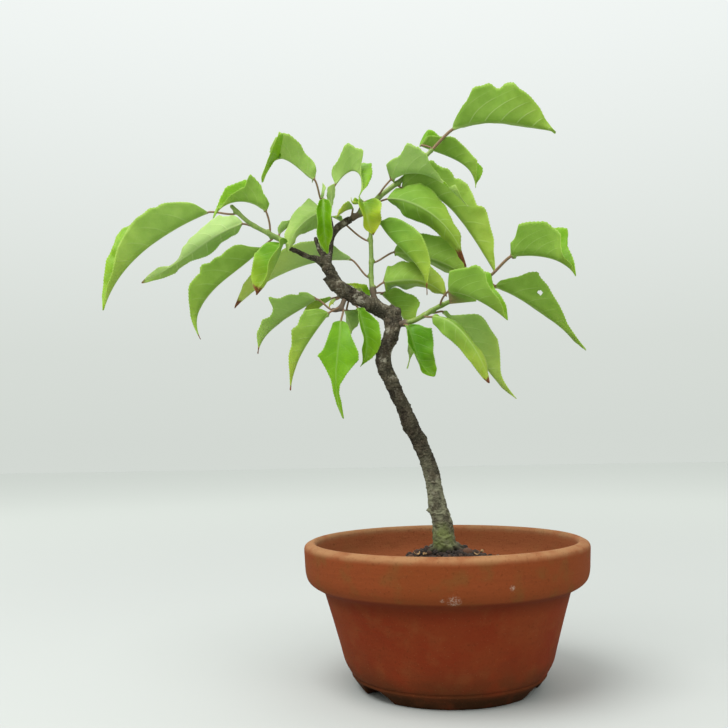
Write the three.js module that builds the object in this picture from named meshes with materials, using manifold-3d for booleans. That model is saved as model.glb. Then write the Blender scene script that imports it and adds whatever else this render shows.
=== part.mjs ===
// A Japanese apricot (ume) trained as a small bonsai, standing in a round unglazed clay pot.
// Millimetres, +Z up. Every piece is modelled about the pot's axis, and the whole is then set down so
// that the origin lies under the middle of its box.
import * as THREE from "three";
import { mergeVertices } from "three/addons/utils/BufferGeometryUtils.js";
import Module from "manifold-3d";

const wasm = await Module();
wasm.setup();

// Pot
const POT_RADIUS = 60;
const POT_HEIGHT = 60.2;
const POT_SIDES = 48;
const FOOT_RADIUS = 37;
const FOOT_INNER_RADIUS = 31;
const FLOOR_UNDERSIDE = 5.6;
const FLOOR_TOP = 10.5;
const DRAIN_RADIUS = 10;
const ARCH_HALF_WIDTH = 9;
const ARCH_SHOULDER = 5;
const ARCH_HEIGHT = 5;
const ARCH_NEAR = 20; // the arches are cut from here outwards, measured from the pot's axis
const ARCH_REACH = 30;
const ARCH_DIRECTIONS = [-140, -24, 98]; // degrees about the axis, from +X
const INNER_WALL = [[54.4, 50], [51.4, 45], [44.2, 32.5], [39.7, 14.5], [36, 10.5]]; // radius, height

// Soil and the screen under it
const SEAT_GAP = 0.3;
const SOIL_EDGE_HEIGHT = 46;
const MOUND_HEIGHT = 10.5;
const MOUND_SPREAD = 22;
const SOIL_SIDES = 32;
const SOIL_RINGS = [46, 37, 28, 20, 13, 7];
const SOIL_LUMPS = 1.6;
const TRUNK_CLEARANCE = 0.45;
const SCREEN_SIZE = 30;
const SCREEN_THICKNESS = 1;
const SCREEN_BAR = 2;
const SCREEN_BARS = 6;

// Leaves
const BLADE_THICKNESS = 0.6;
const STALK_RADIUS = 0.55;
const STALK_SECTIONS = 3;
const BLADE_SECTIONS = 14;
const SMALL_LEAF = 22; // a leaf shorter than this has fewer sections
const SMALL_LEAF_SECTIONS = 8;
const EDGE_WAVE = 0.07; // height of the waves at the edge, as a share of the half width
const EDGE_WAVES = 2.3; // waves along one edge
const EDGE_SCALLOP = 0.06; // how much the half width swells and shrinks
const EDGE_SCALLOPS = 3.1; // swellings along one edge

// The tree is laid out on an upright sheet through the pot's axis, seen from an eye EYE_DISTANCE in
// front of it and EYE_HEIGHT above the table. A place is [across, up, behind]: its place on the sheet,
// and how far behind the sheet it lies on the line of sight. A minus sign means in front.
const EYE_DISTANCE = 381;
const EYE_HEIGHT = 104.5;

// Woody stems: their places from the root up, and the radius at each
const WOOD = {
  trunk: {
    places: [
      [0.5, 38, 0], [0, 48, 0], [-0.3, 53, 0], [-0.6, 57.5, 0], [-1, 66.5, -0.5], [-3, 74.5, -1],
      [-4.7, 85.5, 1], [-6.6, 92.7, 2], [-9.3, 100, 3], [-13.2, 107.5, 2], [-16, 115, 0],
      [-19.4, 122.7, -2], [-22.5, 130, -4], [-24.6, 136, -5], [-24.4, 141.5, -4], [-22, 145.5, -3],
      [-20.4, 150.5, -2], [-20.8, 156.5, 0], [-21.6, 159.6, 0.5],
    ],
    radii: [3.2, 5, 6.4, 5.3, 4.3, 3.7, 3.5, 3.5, 3.4, 3.3, 3.2, 3.2, 3.3, 3.4, 3.3, 3.2, 3.4, 4.1, 2.6],
    sides: 12,
  },
  left_branch: {
    places: [
      [-20.8, 156.5, 0], [-26, 159.2, -1], [-31.3, 162.6, -2], [-36.6, 165.5, -3], [-40.8, 167.7, -4],
      [-44, 170.6, -4], [-45.8, 173.8, -3], [-47.9, 177.7, -2], [-49.6, 180.8, -1],
    ],
    radii: [3.4, 3.3, 3, 2.9, 3.5, 3, 2.7, 2.6, 2.6],
    sides: 10,
  },
  dead_stub: {
    places: [[-45.5, 169.5, -6], [-47.8, 172, -8], [-50, 174.3, -9.5]],
    radii: [1.9, 1.4, 1],
    sides: 7,
  },
  cut_stub: {
    places: [[-49.4, 180, -1], [-50.3, 183.8, -1], [-52.3, 187.6, 0], [-53.9, 192.6, 1]],
    radii: [2, 1.4, 1, 0.9],
    sides: 7,
  },
  twig: {
    places: [
      [-48.8, 179.5, -1], [-52.9, 182.6, -3], [-57.3, 184, -6], [-61.6, 186.4, -9], [-65, 188, -11],
      [-66.6, 190, -11.7],
    ],
    radii: [2.3, 1.7, 1.3, 1.2, 1.1, 1],
    sides: 8,
  },
  top_branch: {
    places: [
      [-49, 179.5, -1], [-47.8, 186.7, 2], [-46.8, 192, 4], [-44.2, 196.1, 6], [-41.5, 198.1, 8],
      [-38.6, 199.7, 9.6],
    ],
    radii: [2.4, 1.9, 1.8, 1.8, 2.2, 1.6],
    sides: 9,
  },
  crown_spur: {
    places: [[-46.6, 192, 4], [-47.1, 199.2, 2.5], [-48.6, 205.6, 0.5], [-49.2, 208.4, 0]],
    radii: [1.6, 1.3, 1.2, 1.1],
    sides: 8,
  },
};

// Green shoots, laid out in the same way
const SHOOTS = {
  left_shoot: {
    places: [
      [-67.7, 191.3, -12.1], [-70.8, 192.9, -12.6], [-73.8, 194.6, -13], [-83.7, 200.6, -15],
      [-92, 208.8, -17],
    ],
    radii: [1.05, 1, 1, 0.95, 0.9],
  },
  top_shoot: {
    places: [
      [-37.7, 200.2, 10.1], [-32.2, 203.4, 11.2], [-25.1, 209.5, 13], [-19.6, 213.6, 14.4],
      [-13.1, 218.4, 16], [-2.5, 228.5, 19], [-1.2, 229.8, 19.6],
    ],
    radii: [1.3, 1.2, 1.2, 1.15, 1.1, 0.95, 0.8],
  },
  middle_shoot: {
    places: [
      [-27.8, 163.8, 1.6], [-28.6, 166.5, 2.2], [-29.3, 172.8, 4], [-29.1, 183.5, 6],
      [-29.2, 191.7, 8], [-29, 195.8, 9],
    ],
    radii: [1.4, 1.2, 1.05, 1, 0.95, 0.7],
  },
  right_shoot: {
    places: [
      [-16.9, 152.7, -3], [-10.6, 154.2, -6], [-1.3, 159.2, -10], [4.9, 162, -13],
      [11.7, 165.5, -16], [23.2, 173.1, -20],
    ],
    radii: [1.35, 1.1, 1, 0.95, 0.9, 0.7],
  },
  low_spur: {
    places: [[-41.4, 164.2, -5.6], [-42.8, 161.2, -7], [-45, 159.8, -8.4], [-47.3, 160, -9]],
    radii: [1.1, 1, 0.9, 0.8],
  },
};
const SHOOT_SIDES = 8;
const BARK_ROUGHNESS = 0.12;

// Leaves: name, the stem it grows from, its place on that stem (2.5 is halfway between the third and
// fourth places), four places along the midrib from the foot of the blade to its tip, and the near edge
// where the blade is widest. Then what differs from an ordinary leaf.
const ORDINARY = {
  opening: 60, // angle between the two halves
  roll: 0, // how far the tip end rolls towards the eye
  full: 0.5, // 0 for a blade that narrows at once beyond its widest, 1 for one that stays broad
  widest: 0.4, // where along the midrib it is widest
  upper: false, // whether the eye sees its upper side
};
const LEAVES = [
  ["left_1", "left_shoot", 3.6,
    [[-102, 206, -14], [-122, 196.5, -14], [-139.5, 182.5, -18], [-150.5, 163, -24]],
    [-137.5, 203, -19], { opening: 55, roll: 10, full: 1 }],
  ["left_2", "left_shoot", 2.75,
    [[-86.5, 200, -9], [-101, 193.5, -3], [-115.5, 184.5, 1], [-133, 175, 3]],
    [-109, 196.5, 8], { opening: 85, full: 0.3 }],
  ["left_3", "left_shoot", 1.7,
    [[-78, 189, -12], [-92, 177.5, -9], [-105, 165, -8], [-106, 148.5, -12]],
    [-105.5, 182, -13], { full: 0.6 }],
  ["left_4", "left_shoot", 0.2,
    [[-68.5, 190.5, -17], [-71, 184, -21], [-74.5, 176.5, -24], [-80.5, 167.5, -26]],
    [-81.5, 185.5, -24], { opening: 70, upper: true }],
  ["left_5", "left_shoot", 2.1,
    [[-76, 205.5, -16], [-84, 210, -18], [-93, 209.5, -21], [-100, 203, -25]],
    [-83, 221, -19], { opening: 45, roll: 24, full: 0.4 }],
  ["left_6", "left_shoot", 0.9,
    [[-70, 194.5, -9], [-67.5, 197, -6], [-64, 199.5, -3], [-61.5, 203.5, 0]],
    [-70, 199.5, -7], { opening: 70, full: 0.3 }],

  ["crown_1", "crown_spur", 1,
    [[-50, 204, -2], [-57, 201, -7], [-63, 195, -13], [-66, 186.5, -19]],
    [-60.5, 208, -1], { opening: 90 }],
  ["crown_2", "crown_spur", 2.7,
    [[-54, 219, -3], [-61.5, 225, -5], [-69.5, 229, -10], [-77.5, 218.5, -20]],
    [-68, 240, -10], { roll: 70, full: 0.4, widest: 0.6 }],
  ["crown_3", "crown_spur", 2.5,
    [[-50, 210, -8], [-50, 202, -11], [-49.5, 193.5, -11], [-48.5, 185, -10]],
    [-53, 201, -17], { opening: 45, upper: true }],
  ["crown_4", "crown_spur", 3,
    [[-51, 210.5, -3], [-50.5, 212.5, -5], [-50.2, 215, -5], [-50, 217.2, -5]],
    [-48.8, 214, -6.5], { opening: 120, full: 0.8, widest: 0.55 }],
  ["crown_5", "crown_spur", 1.6,
    [[-46.5, 206, -1], [-46.4, 209.5, -1.5], [-46, 213, -2], [-45, 216.5, -2.5]],
    [-48.4, 213, -2.5], { opening: 130, full: 1, widest: 0.7 }],
  ["crown_6", "crown_spur", 2.6,
    [[-44.5, 216, 6], [-38, 221.5, 5], [-33, 219, -1], [-34.5, 210, -6]],
    [-37, 234, 1], { roll: 70, full: 0.3 }],

  ["top_1", "top_shoot", 0.15,
    [[-37, 205, 9], [-39.5, 204.5, 7], [-42, 203, 5], [-45, 200.5, 3]],
    [-41, 208, 4], { opening: 70 }],
  ["top_2", "top_shoot", 0.7,
    [[-33.5, 205.5, 9.5], [-34.5, 207, 8], [-36.5, 207, 6.5], [-37.5, 210, 6]],
    [-34.2, 209, 4.5], { opening: 70 }],
  ["top_3", "top_shoot", 1.3,
    [[-32, 207.5, 4], [-31, 203, 0], [-30, 198, 0], [-28, 192.5, 2]],
    [-24.5, 204.5, -4], { opening: 70, full: 0.2, upper: true }],
  ["top_4", "top_shoot", 2,
    [[-19.5, 217.3, 10], [-7, 219.5, 8], [4, 213.8, 5], [14, 203.5, 3]],
    [-11, 234, 3], { full: 0.3, widest: 0.32 }],
  ["top_5", "top_shoot", 3.4,
    [[-15, 213.2, 15.5], [1.5, 207.6, 17], [13.3, 193.8, 14], [24.8, 174, 8]],
    [16, 209, 13], { full: 0.6 }],
  ["top_6", "top_shoot", 1.6,
    [[-21.5, 208.5, 7], [-10.5, 206, 3], [3.2, 195.8, 2], [12.4, 176.8, 4]],
    [-3.5, 212, 11], { opening: 88 }],
  ["top_7", "top_shoot", 0.75,
    [[-25, 198.5, 5], [-17, 187.5, 1], [-8.5, 177.5, -4], [-5, 165, -8]],
    [-7.5, 192, -3], {}],
  ["top_8", "top_shoot", 6,
    [[8, 238.5, 20], [23, 241, 20], [38, 239, 18], [52.5, 235, 14]],
    [28, 258, 15], { full: 0.9, widest: 0.45 }],
  ["top_9", "top_shoot", 5.6,
    [[-6, 232, 24], [4, 227.5, 26], [13.5, 221.5, 24], [17.5, 211.5, 20]],
    [10, 234, 21], { opening: 42, full: 0.8 }],

  ["middle_1", "middle_shoot", 2.1,
    [[-38, 182, 8], [-56.5, 180.5, 9], [-74.5, 175, 5], [-91, 162.5, -3]],
    [-59, 191, 6], {}],
  ["middle_2", "middle_shoot", 2.7,
    [[-19, 184.6, 11], [-7.5, 182.6, 12], [3.5, 178.4, 11], [13.2, 172, 10]],
    [-2, 191, 15], { opening: 75 }],
  ["middle_3", "middle_shoot", 1.4,
    [[-23.7, 171.4, 3], [-15, 172, 2], [-6, 170.8, 1], [3.5, 164, -1]],
    [-12, 179, 8], { opening: 55, full: 0.8 }],
  ["middle_4", "middle_shoot", 1.1,
    [[-24.5, 166.5, 7], [-20.6, 162, 9], [-17, 157.6, 9], [-13.8, 151.7, 7]],
    [-11, 164, 8], { opening: 80, full: 0.9 }],
  ["middle_5", "middle_shoot", 3.75,
    [[-41.5, 199, 14], [-43, 200, 14], [-45, 201, 13], [-46.5, 201.5, 12]],
    [-43.5, 203, 11], { opening: 80 }],

  ["right_1", "right_shoot", 0.3,
    [[-14, 152, -8], [-11.5, 144, -11], [-8.5, 135.5, -12], [-2.5, 129.5, -12]],
    [-3, 146, -14], { opening: 70, full: 0.7, upper: true }],
  ["right_2", "right_shoot", 0.35,
    [[-14, 151.5, 0], [-12.5, 145.5, 1], [-12, 140, 1], [-14.5, 133, 0]],
    [-13.5, 143, 5], { opening: 50 }],
  ["right_3", "right_shoot", 1.45,
    [[-3, 155.4, -15], [8.2, 149.9, -22], [16.6, 137.6, -24], [20.7, 125.9, -24]],
    [3, 146.5, -19], { opening: 78 }],
  ["right_4", "right_shoot", 1.75,
    [[1.6, 157.6, -10], [12.2, 143.4, -8], [21.4, 130.2, -8], [32, 118.9, -10]],
    [23.5, 146.5, -10], {}],
  ["right_5", "right_shoot", 2.35,
    [[4.5, 166.5, -22], [13.5, 164, -28], [22, 159, -30], [29.5, 153, -31]],
    [20, 176, -33], { opening: 40, roll: 16, full: 0.8 }],
  ["right_6", "right_shoot", 5,
    [[32, 181, -23], [42, 181, -27], [52, 178, -30], [59, 171, -32]],
    [45, 195.5, -31], { opening: 45, roll: 22, full: 0.9, widest: 0.45 }],
  ["right_7", "right_shoot", 4.8,
    [[24.5, 168, -16], [38.5, 160, -13], [51, 150, -12], [62, 138.5, -12]],
    [47.5, 169, -18], { opening: 80, full: 0.4 }],

  ["low_1", "low_spur", 3,
    [[-54, 165, -8], [-64.5, 158.8, -6], [-74.5, 151.6, -7], [-80.4, 141.5, -10]],
    [-72.5, 167, -10], { roll: 10, full: 0.7 }],
  ["low_2", "low_spur", 1.6,
    [[-48.5, 158.5, -13], [-57.2, 147, -17], [-63.2, 136, -19], [-65.7, 124.8, -20]],
    [-65.5, 151, -20], { opening: 50, full: 0.4 }],
  ["low_3", "low_spur", 1,
    [[-43, 155, -10], [-44.8, 140.5, -15], [-45.7, 126, -17], [-42.6, 112, -16]],
    [-53, 140.5, -18], { opening: 150, full: 0, upper: true }],

  ["branch_1", "left_branch", 4.25,
    [[-47.2, 164.9, -2.4], [-51.7, 162, 0], [-56, 157.4, 1], [-60.6, 150, 1]],
    [-56, 164, -2], {}],
  ["branch_2", "left_branch", 2.9,
    [[-35.5, 160.5, -4], [-33, 151.5, -6], [-32, 142.5, -7], [-35, 134.5, -7]],
    [-26, 148.5, -10], { full: 0.6, upper: true }],
  ["branch_3", "left_branch", 3.35,
    [[-40.5, 159.5, 0], [-40, 156.5, 1], [-39, 152.5, 1], [-38.5, 149, 0]],
    [-35.5, 156.5, 3], { opening: 70 }],
  ["branch_4", "left_branch", 1.5,
    [[-30.5, 164, 7], [-33.5, 167, 8], [-36.5, 169.5, 8], [-40.5, 171.5, 8]],
    [-36, 171.5, 4], {}],
  ["branch_5", "left_branch", 4.1,
    [[-45, 164.5, -5], [-47, 164, -4], [-48, 162.5, -4], [-48, 160.5, -4]],
    [-46, 162, -5], { opening: 80 }],
];

// Colours
const finish = {
  clay: { color: 0xb4532f, roughness: 0.85 },
  soil: { color: 0x2b2119, roughness: 0.95 },
  screen: { color: 0x202423, roughness: 0.6 },
  bark: { color: 0x5b5048, roughness: 0.9 },
  shoot: { color: 0x4d7a34, roughness: 0.6 },
  underside: { color: 0x86b653, roughness: 0.6 },
  upperside: { color: 0x6aa51e, roughness: 0.5 },
};

const radians = THREE.MathUtils.degToRad;

// A repeatable number from 0 to 1 for each pair of whole numbers
function scatter(i, j) {
  const s = Math.sin(i * 12.9898 + j * 78.233 + 4.7) * 43758.5453;
  return s - Math.floor(s);
}

// From a place on the sheet, and how far behind it, to a point in space
const EYE = new THREE.Vector3(0, -EYE_DISTANCE, EYE_HEIGHT);
function inSpace([across, up, behind]) {
  const onSheet = new THREE.Vector3(across, 0, up);
  return onSheet.sub(EYE).multiplyScalar((EYE_DISTANCE + behind) / EYE_DISTANCE).add(EYE);
}

// A closed body skinned over rings of points that all have the same number of points. A blade's lower
// face is split along the same lines as its upper face.
function skin(rings, splitOther = () => false) {
  const n = rings[0].length;
  const positions = rings.flat().flatMap((p) => [p.x, p.y, p.z]);
  const index = [];
  for (let i = 0; i + 1 < rings.length; i++) {
    for (let c = 0; c < n; c++) {
      const a = i * n + c;
      const b = i * n + ((c + 1) % n);
      const d = a + n;
      const e = b + n;
      index.push(...(splitOther(c) ? [a, b, d, b, e, d] : [a, b, e, a, e, d]));
    }
  }
  const last = (rings.length - 1) * n;
  for (let c = 1; c + 1 < n; c++) {
    index.push(0, c + 1, c, last, last + c, last + c + 1);
  }
  const geometry = new THREE.BufferGeometry();
  geometry.setAttribute("position", new THREE.Float32BufferAttribute(positions, 3));
  geometry.setIndex(index);
  return facingOut(geometry);
}

// Turns a closed body's faces round if they point inwards
function facingOut(geometry) {
  const p = geometry.attributes.position;
  const index = Array.from(geometry.index.array);
  const [a, b, c] = [new THREE.Vector3(), new THREE.Vector3(), new THREE.Vector3()];
  let volume = 0;
  for (let i = 0; i < index.length; i += 3) {
    a.fromBufferAttribute(p, index[i]);
    b.fromBufferAttribute(p, index[i + 1]);
    c.fromBufferAttribute(p, index[i + 2]);
    volume += a.dot(b.cross(c));
  }
  if (volume < 0) {
    geometry.setIndex(index.reverse());
  }
  return geometry;
}

function toSolid(geometry) {
  const bare = new THREE.BufferGeometry();
  bare.setAttribute("position", geometry.attributes.position);
  bare.setIndex(geometry.index);
  const merged = mergeVertices(bare, 1e-4);
  return new wasm.Manifold(new wasm.Mesh({
    numProp: 3,
    vertProperties: new Float32Array(merged.attributes.position.array),
    triVerts: new Uint32Array(merged.index.array),
  }));
}

function toGeometry(solid) {
  const mesh = solid.getMesh();
  const geometry = new THREE.BufferGeometry();
  geometry.setAttribute("position", new THREE.Float32BufferAttribute(mesh.vertProperties, 3));
  geometry.setIndex(Array.from(mesh.triVerts));
  return geometry;
}

// Stems
const stemCurve = (stem) => new THREE.CatmullRomCurve3(
  stem.places.map(inSpace), false, "catmullrom", 0.5,
);

// A value given at each of a stem's places, taken at a place between them
function between(values, at) {
  const i = Math.min(Math.floor(at), values.length - 2);
  return THREE.MathUtils.lerp(values[i], values[i + 1], at - i);
}

// Carries a direction along a row of tangents, always square to them and without needless turning
function carry(start, tangents) {
  let side = start.clone();
  return tangents.map((t) => {
    side = side.clone().addScaledVector(t, -side.dot(t)).normalize();
    return side;
  });
}

// A stem as a tube of changing radius. Bark is rough: each corner moves in or out a little.
function stemGeometry(stem, { sides, steps = 2, rough = 0, grow = 0 }) {
  const curve = stemCurve(stem);
  const count = (stem.places.length - 1) * steps;
  const along = Array.from({ length: count + 1 }, (_, i) => i / count);
  const tangents = along.map((t) => curve.getTangent(t));
  const across = carry(new THREE.Vector3(0, 1, 0), tangents);
  const rings = along.map((t, i) => {
    const centre = curve.getPoint(t);
    const up = tangents[i].clone().cross(across[i]);
    const radius = between(stem.radii, t * (stem.radii.length - 1)) + grow;
    return Array.from({ length: sides }, (_, j) => {
      const turn = (2 * Math.PI * j) / sides;
      const r = radius * (1 + rough * (scatter(i, j) - 0.5));
      return centre.clone()
        .addScaledVector(across[i], r * Math.cos(turn))
        .addScaledVector(up, r * Math.sin(turn));
    });
  });
  return skin(rings);
}

// Pot: a turned profile from the drain hole out along the underside, up the outside and down the inside
function potGeometry() {
  const profile = [
    [DRAIN_RADIUS, FLOOR_UNDERSIDE], [FOOT_INNER_RADIUS - 1.5, FLOOR_UNDERSIDE], [FOOT_INNER_RADIUS, 4],
    [FOOT_INNER_RADIUS + 0.6, 0.5], [FOOT_INNER_RADIUS + 1.2, 0], [FOOT_RADIUS - 0.6, 0],
    [FOOT_RADIUS, 0.5], [40.8, 5.6], [40.3, 6.3], [41.2, 7], [43.7, 11.3], [45, 16.6], [48.3, 28.5],
    [51.5, 39.3], [52.4, 40.5], [57, 43.1], [58.7, 45], [59.5, 48], [POT_RADIUS, 57.6],
    [59.6, 58.9], [57, POT_HEIGHT], [56, POT_HEIGHT - 0.1], [55, 59],
    ...INNER_WALL, [DRAIN_RADIUS, FLOOR_TOP], [DRAIN_RADIUS, FLOOR_UNDERSIDE],
  ].map((p) => new THREE.Vector2(...p));
  const turned = new THREE.LatheGeometry(profile, POT_SIDES).rotateX(Math.PI / 2);
  turned.deleteAttribute("normal");
  turned.deleteAttribute("uv");
  let pot = toSolid(facingOut(mergeVertices(turned, 1e-4)));
  for (const direction of ARCH_DIRECTIONS) {
    pot = pot.subtract(toSolid(archCutter(radians(direction))));
  }
  return toGeometry(pot);
}

// A low arch cut through the foot ring, looking outwards along its direction
function archCutter(direction) {
  const shape = new THREE.Shape();
  shape.moveTo(-ARCH_HALF_WIDTH, -1);
  shape.lineTo(ARCH_HALF_WIDTH, -1);
  shape.lineTo(ARCH_HALF_WIDTH, 0);
  const top = ARCH_HALF_WIDTH - ARCH_SHOULDER;
  shape.quadraticCurveTo(top + 2, ARCH_HEIGHT, top, ARCH_HEIGHT);
  shape.lineTo(-top, ARCH_HEIGHT);
  shape.quadraticCurveTo(-top - 2, ARCH_HEIGHT, -ARCH_HALF_WIDTH, 0);
  const cutter = new THREE.ExtrudeGeometry(shape, {
    depth: ARCH_REACH, bevelEnabled: false, curveSegments: 4,
  });
  cutter.rotateX(Math.PI / 2);
  cutter.translate(0, -ARCH_NEAR, 0);
  cutter.rotateZ(direction + Math.PI / 2);
  cutter.deleteAttribute("normal");
  cutter.deleteAttribute("uv");
  return facingOut(mergeVertices(cutter, 1e-4));
}

// Soil: fills the pot to a little below its lip and rises to a mound round the trunk, which stands in
// a plain hole
function soilHeight(x, y) {
  return SOIL_EDGE_HEIGHT + MOUND_HEIGHT * Math.exp(-(x * x + y * y) / MOUND_SPREAD ** 2);
}

function soilGeometry() {
  const underside = [30, FLOOR_TOP + SCREEN_THICKNESS + 2 * SEAT_GAP];
  const side = INNER_WALL.slice(1, -1).reverse()
    .map(([radius, z]) => [radius * Math.cos(Math.PI / POT_SIDES) - SEAT_GAP, z]);
  const sideRings = [underside, ...side].map(([radius, z]) => roundRing(radius, () => z));
  const topRings = SOIL_RINGS.map((radius, k) => roundRing(
    radius, (x, y, j) => soilHeight(x, y) + SOIL_LUMPS * (scatter(k, j) - 0.5),
  ));
  const { sides } = WOOD.trunk;
  const hole = stemGeometry(WOOD.trunk, { sides, grow: TRUNK_CLEARANCE });
  return toGeometry(toSolid(skin([...sideRings, ...topRings])).subtract(toSolid(hole)));
}

function roundRing(radius, height) {
  return Array.from({ length: SOIL_SIDES }, (_, j) => {
    const turn = (2 * Math.PI * j) / SOIL_SIDES;
    const [x, y] = [radius * Math.cos(turn), radius * Math.sin(turn)];
    return new THREE.Vector3(x, y, height(x, y, j));
  });
}

// Drain screen: a square plastic mesh of flat bars, lying on the pot's floor over the hole
function screenGeometry() {
  const pitch = (SCREEN_SIZE - SCREEN_BAR) / (SCREEN_BARS - 1);
  const bars = [];
  for (let i = 0; i < SCREEN_BARS; i++) {
    const offset = i * pitch - (SCREEN_SIZE - SCREEN_BAR) / 2;
    const along = new THREE.BoxGeometry(SCREEN_SIZE, SCREEN_BAR, SCREEN_THICKNESS);
    const across = new THREE.BoxGeometry(SCREEN_BAR, SCREEN_SIZE, SCREEN_THICKNESS);
    bars.push(along.translate(0, offset, 0), across.translate(offset, 0, 0));
  }
  const screen = toGeometry(bars.map(toSolid).reduce((whole, bar) => whole.add(bar)));
  return screen.translate(0, 0, FLOOR_TOP + SEAT_GAP + SCREEN_THICKNESS / 2);
}

// The cubic curve through four places, at shares 0, 1/3, 2/3 and 1 of its length
function throughFour(points, t) {
  const weights = [
    -4.5 * (t - 1 / 3) * (t - 2 / 3) * (t - 1),
    13.5 * t * (t - 2 / 3) * (t - 1),
    -13.5 * t * (t - 1 / 3) * (t - 1),
    4.5 * t * (t - 1 / 3) * (t - 2 / 3),
  ];
  return points.reduce((sum, p, k) => sum.addScaledVector(p, weights[k]), new THREE.Vector3());
}

// Half width of a blade as a share of its widest: round at the foot, drawn out long at the tip
function bladeShape(t, { widest, full }) {
  if (t < widest) {
    return Math.sin((Math.PI / 2) * (t / widest)) ** 0.65;
  }
  const beyond = (t - widest) / (1 - widest);
  return full * (1 - beyond ** 2) ** 1.2 + (1 - full) * (1 - beyond) ** 1.8;
}

// Where a leaf's stalk leaves its stem: square to it, from just off its bark, or from its end
function stalkRoot(stemName, at, foot) {
  const stem = WOOD[stemName] ?? SHOOTS[stemName];
  const last = stem.places.length - 1;
  const curve = stemCurve(stem);
  const axis = curve.getPoint(at / last);
  const tangent = curve.getTangent(at / last);
  if (at === last) {
    return { start: axis.addScaledVector(tangent, SEAT_GAP), out: tangent };
  }
  const out = foot.clone().sub(axis);
  out.addScaledVector(tangent, -out.dot(tangent)).normalize();
  const clear = between(stem.radii, at) * (WOOD[stemName] ? 1.06 : 1) + SEAT_GAP;
  return { start: axis.addScaledVector(out, clear), out };
}

// A leaf from the root of its stalk to its tip, as stations: each has its centre on the midrib, the
// direction along it, the direction square to that towards the near edge, and its share of the blade
function leafStations({ stem, at, midrib, edge, form }) {
  const rib = midrib.map(inSpace);
  const ribAt = (t) => throughFour(rib, t);
  const tangentAt = (t) => ribAt(t + 0.01).sub(ribAt(t - 0.01)).normalize();

  const { start, out } = stalkRoot(stem, at, rib[0]);
  const bend = start.distanceTo(rib[0]) / 3;
  const stalk = new THREE.CubicBezierCurve3(
    start, start.clone().addScaledVector(out, bend),
    rib[0].clone().addScaledVector(tangentAt(0), -bend), rib[0],
  );
  const stations = [];
  for (let k = 0; k < STALK_SECTIONS; k++) {
    const t = k / STALK_SECTIONS;
    stations.push({ centre: stalk.getPoint(t), tangent: stalk.getTangent(t), share: 0 });
  }
  const sections = rib[0].distanceTo(rib[3]) > SMALL_LEAF ? BLADE_SECTIONS : SMALL_LEAF_SECTIONS;
  for (let k = 0; k <= sections; k++) {
    const t = k / sections;
    stations.push({ centre: ribAt(t), tangent: tangentAt(t), share: t });
  }

  const tangent = tangentAt(form.widest);
  const toEdge = inSpace(edge).sub(ribAt(form.widest));
  toEdge.addScaledVector(tangent, -toEdge.dot(tangent));
  const halfWidth = toEdge.length();
  const sight = ribAt(form.widest).sub(EYE);
  const hand = Math.sign(tangent.cross(toEdge).dot(sight));
  toEdge.normalize();
  const middle = STALK_SECTIONS + Math.round(form.widest * sections);
  const tangents = stations.map((station) => station.tangent);
  const outward = carry(toEdge, tangents.slice(middle));
  const inward = carry(toEdge, tangents.slice(0, middle).reverse()).reverse();
  [...inward, ...outward].forEach((side, i) => {
    stations[i].side = side;
  });
  return { stations, halfWidth, hand };
}

// A leaf: a round stalk that widens into a blade folded along its midrib, with waved edges
function leafGeometry(leaf, number) {
  const { opening, roll, widest, upper } = leaf.form;
  const { stations, halfWidth, hand } = leafStations(leaf);
  const ease = (x) => THREE.MathUtils.smoothstep(x, 0, 0.16);
  const phase = 2.4 * number;
  const rings = stations.map(({ centre, tangent, side, share }, i) => {
    const blade = i <= STALK_SECTIONS ? 0 : ease(share) * ease(1.02 - share);

    // Directions: from the midrib to the near and far edges, and square to each half on its upper face
    const away = tangent.clone().cross(side).multiplyScalar(hand);
    const lean = radians(roll) * Math.max(0, (share - widest) / (1 - widest));
    const near = side.clone().multiplyScalar(Math.cos(lean)).addScaledVector(away, -Math.sin(lean));
    const nearUp = tangent.clone().cross(near).multiplyScalar(upper ? -hand : hand);
    const fold = radians(i < STALK_SECTIONS ? 180 : opening);
    const far = near.clone().multiplyScalar(Math.cos(fold)).addScaledVector(nearUp, Math.sin(fold));
    const farUp = near.clone().multiplyScalar(Math.sin(fold)).addScaledVector(nearUp, -Math.cos(fold));
    const ribUp = nearUp.clone().add(farUp).normalize();

    // Sizes: half width, height of the wave at the edge, half thicknesses at the edge and the midrib
    const swell = 1 + EDGE_SCALLOP * Math.sin(2 * Math.PI * EDGE_SCALLOPS * share + phase);
    const bladeWidth = blade > 0 ? halfWidth * bladeShape(share, leaf.form) * swell : 0;
    const width = Math.max(STALK_RADIUS * Math.cos(Math.PI / 6), bladeWidth);
    const waveShape = Math.sin(2 * Math.PI * EDGE_WAVES * share + 1.7 * phase);
    const wave = blade * EDGE_WAVE * halfWidth * waveShape;
    const edgeHalf = Math.max(BLADE_THICKNESS / 2, (1 - blade) * STALK_RADIUS / 2);
    const ribHalf = THREE.MathUtils.lerp(STALK_RADIUS, BLADE_THICKNESS / 2, blade)
      / Math.max(0.5, Math.sin(fold / 2));
    const point = (along, width, normal, height) => centre.clone()
      .addScaledVector(along, width)
      .addScaledVector(normal, height);
    return [
      point(near, width, nearUp, wave + edgeHalf),
      point(near, 0, ribUp, ribHalf),
      point(far, width, farUp, edgeHalf - wave),
      point(far, width, farUp, -edgeHalf - wave),
      point(near, 0, ribUp, -ribHalf),
      point(near, width, nearUp, wave - edgeHalf),
    ];
  });
  const onLowerFace = (c) => c === 3 || c === 4;
  return skin(rings, onLowerFace);
}

// The tree and its pot, piece by piece
const bonsai = new THREE.Group();

function addPiece(name, geometry, { color, roughness }) {
  const material = new THREE.MeshStandardMaterial({ color, roughness, metalness: 0 });
  const piece = new THREE.Mesh(geometry, material);
  piece.name = name;
  bonsai.add(piece);
}

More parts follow.
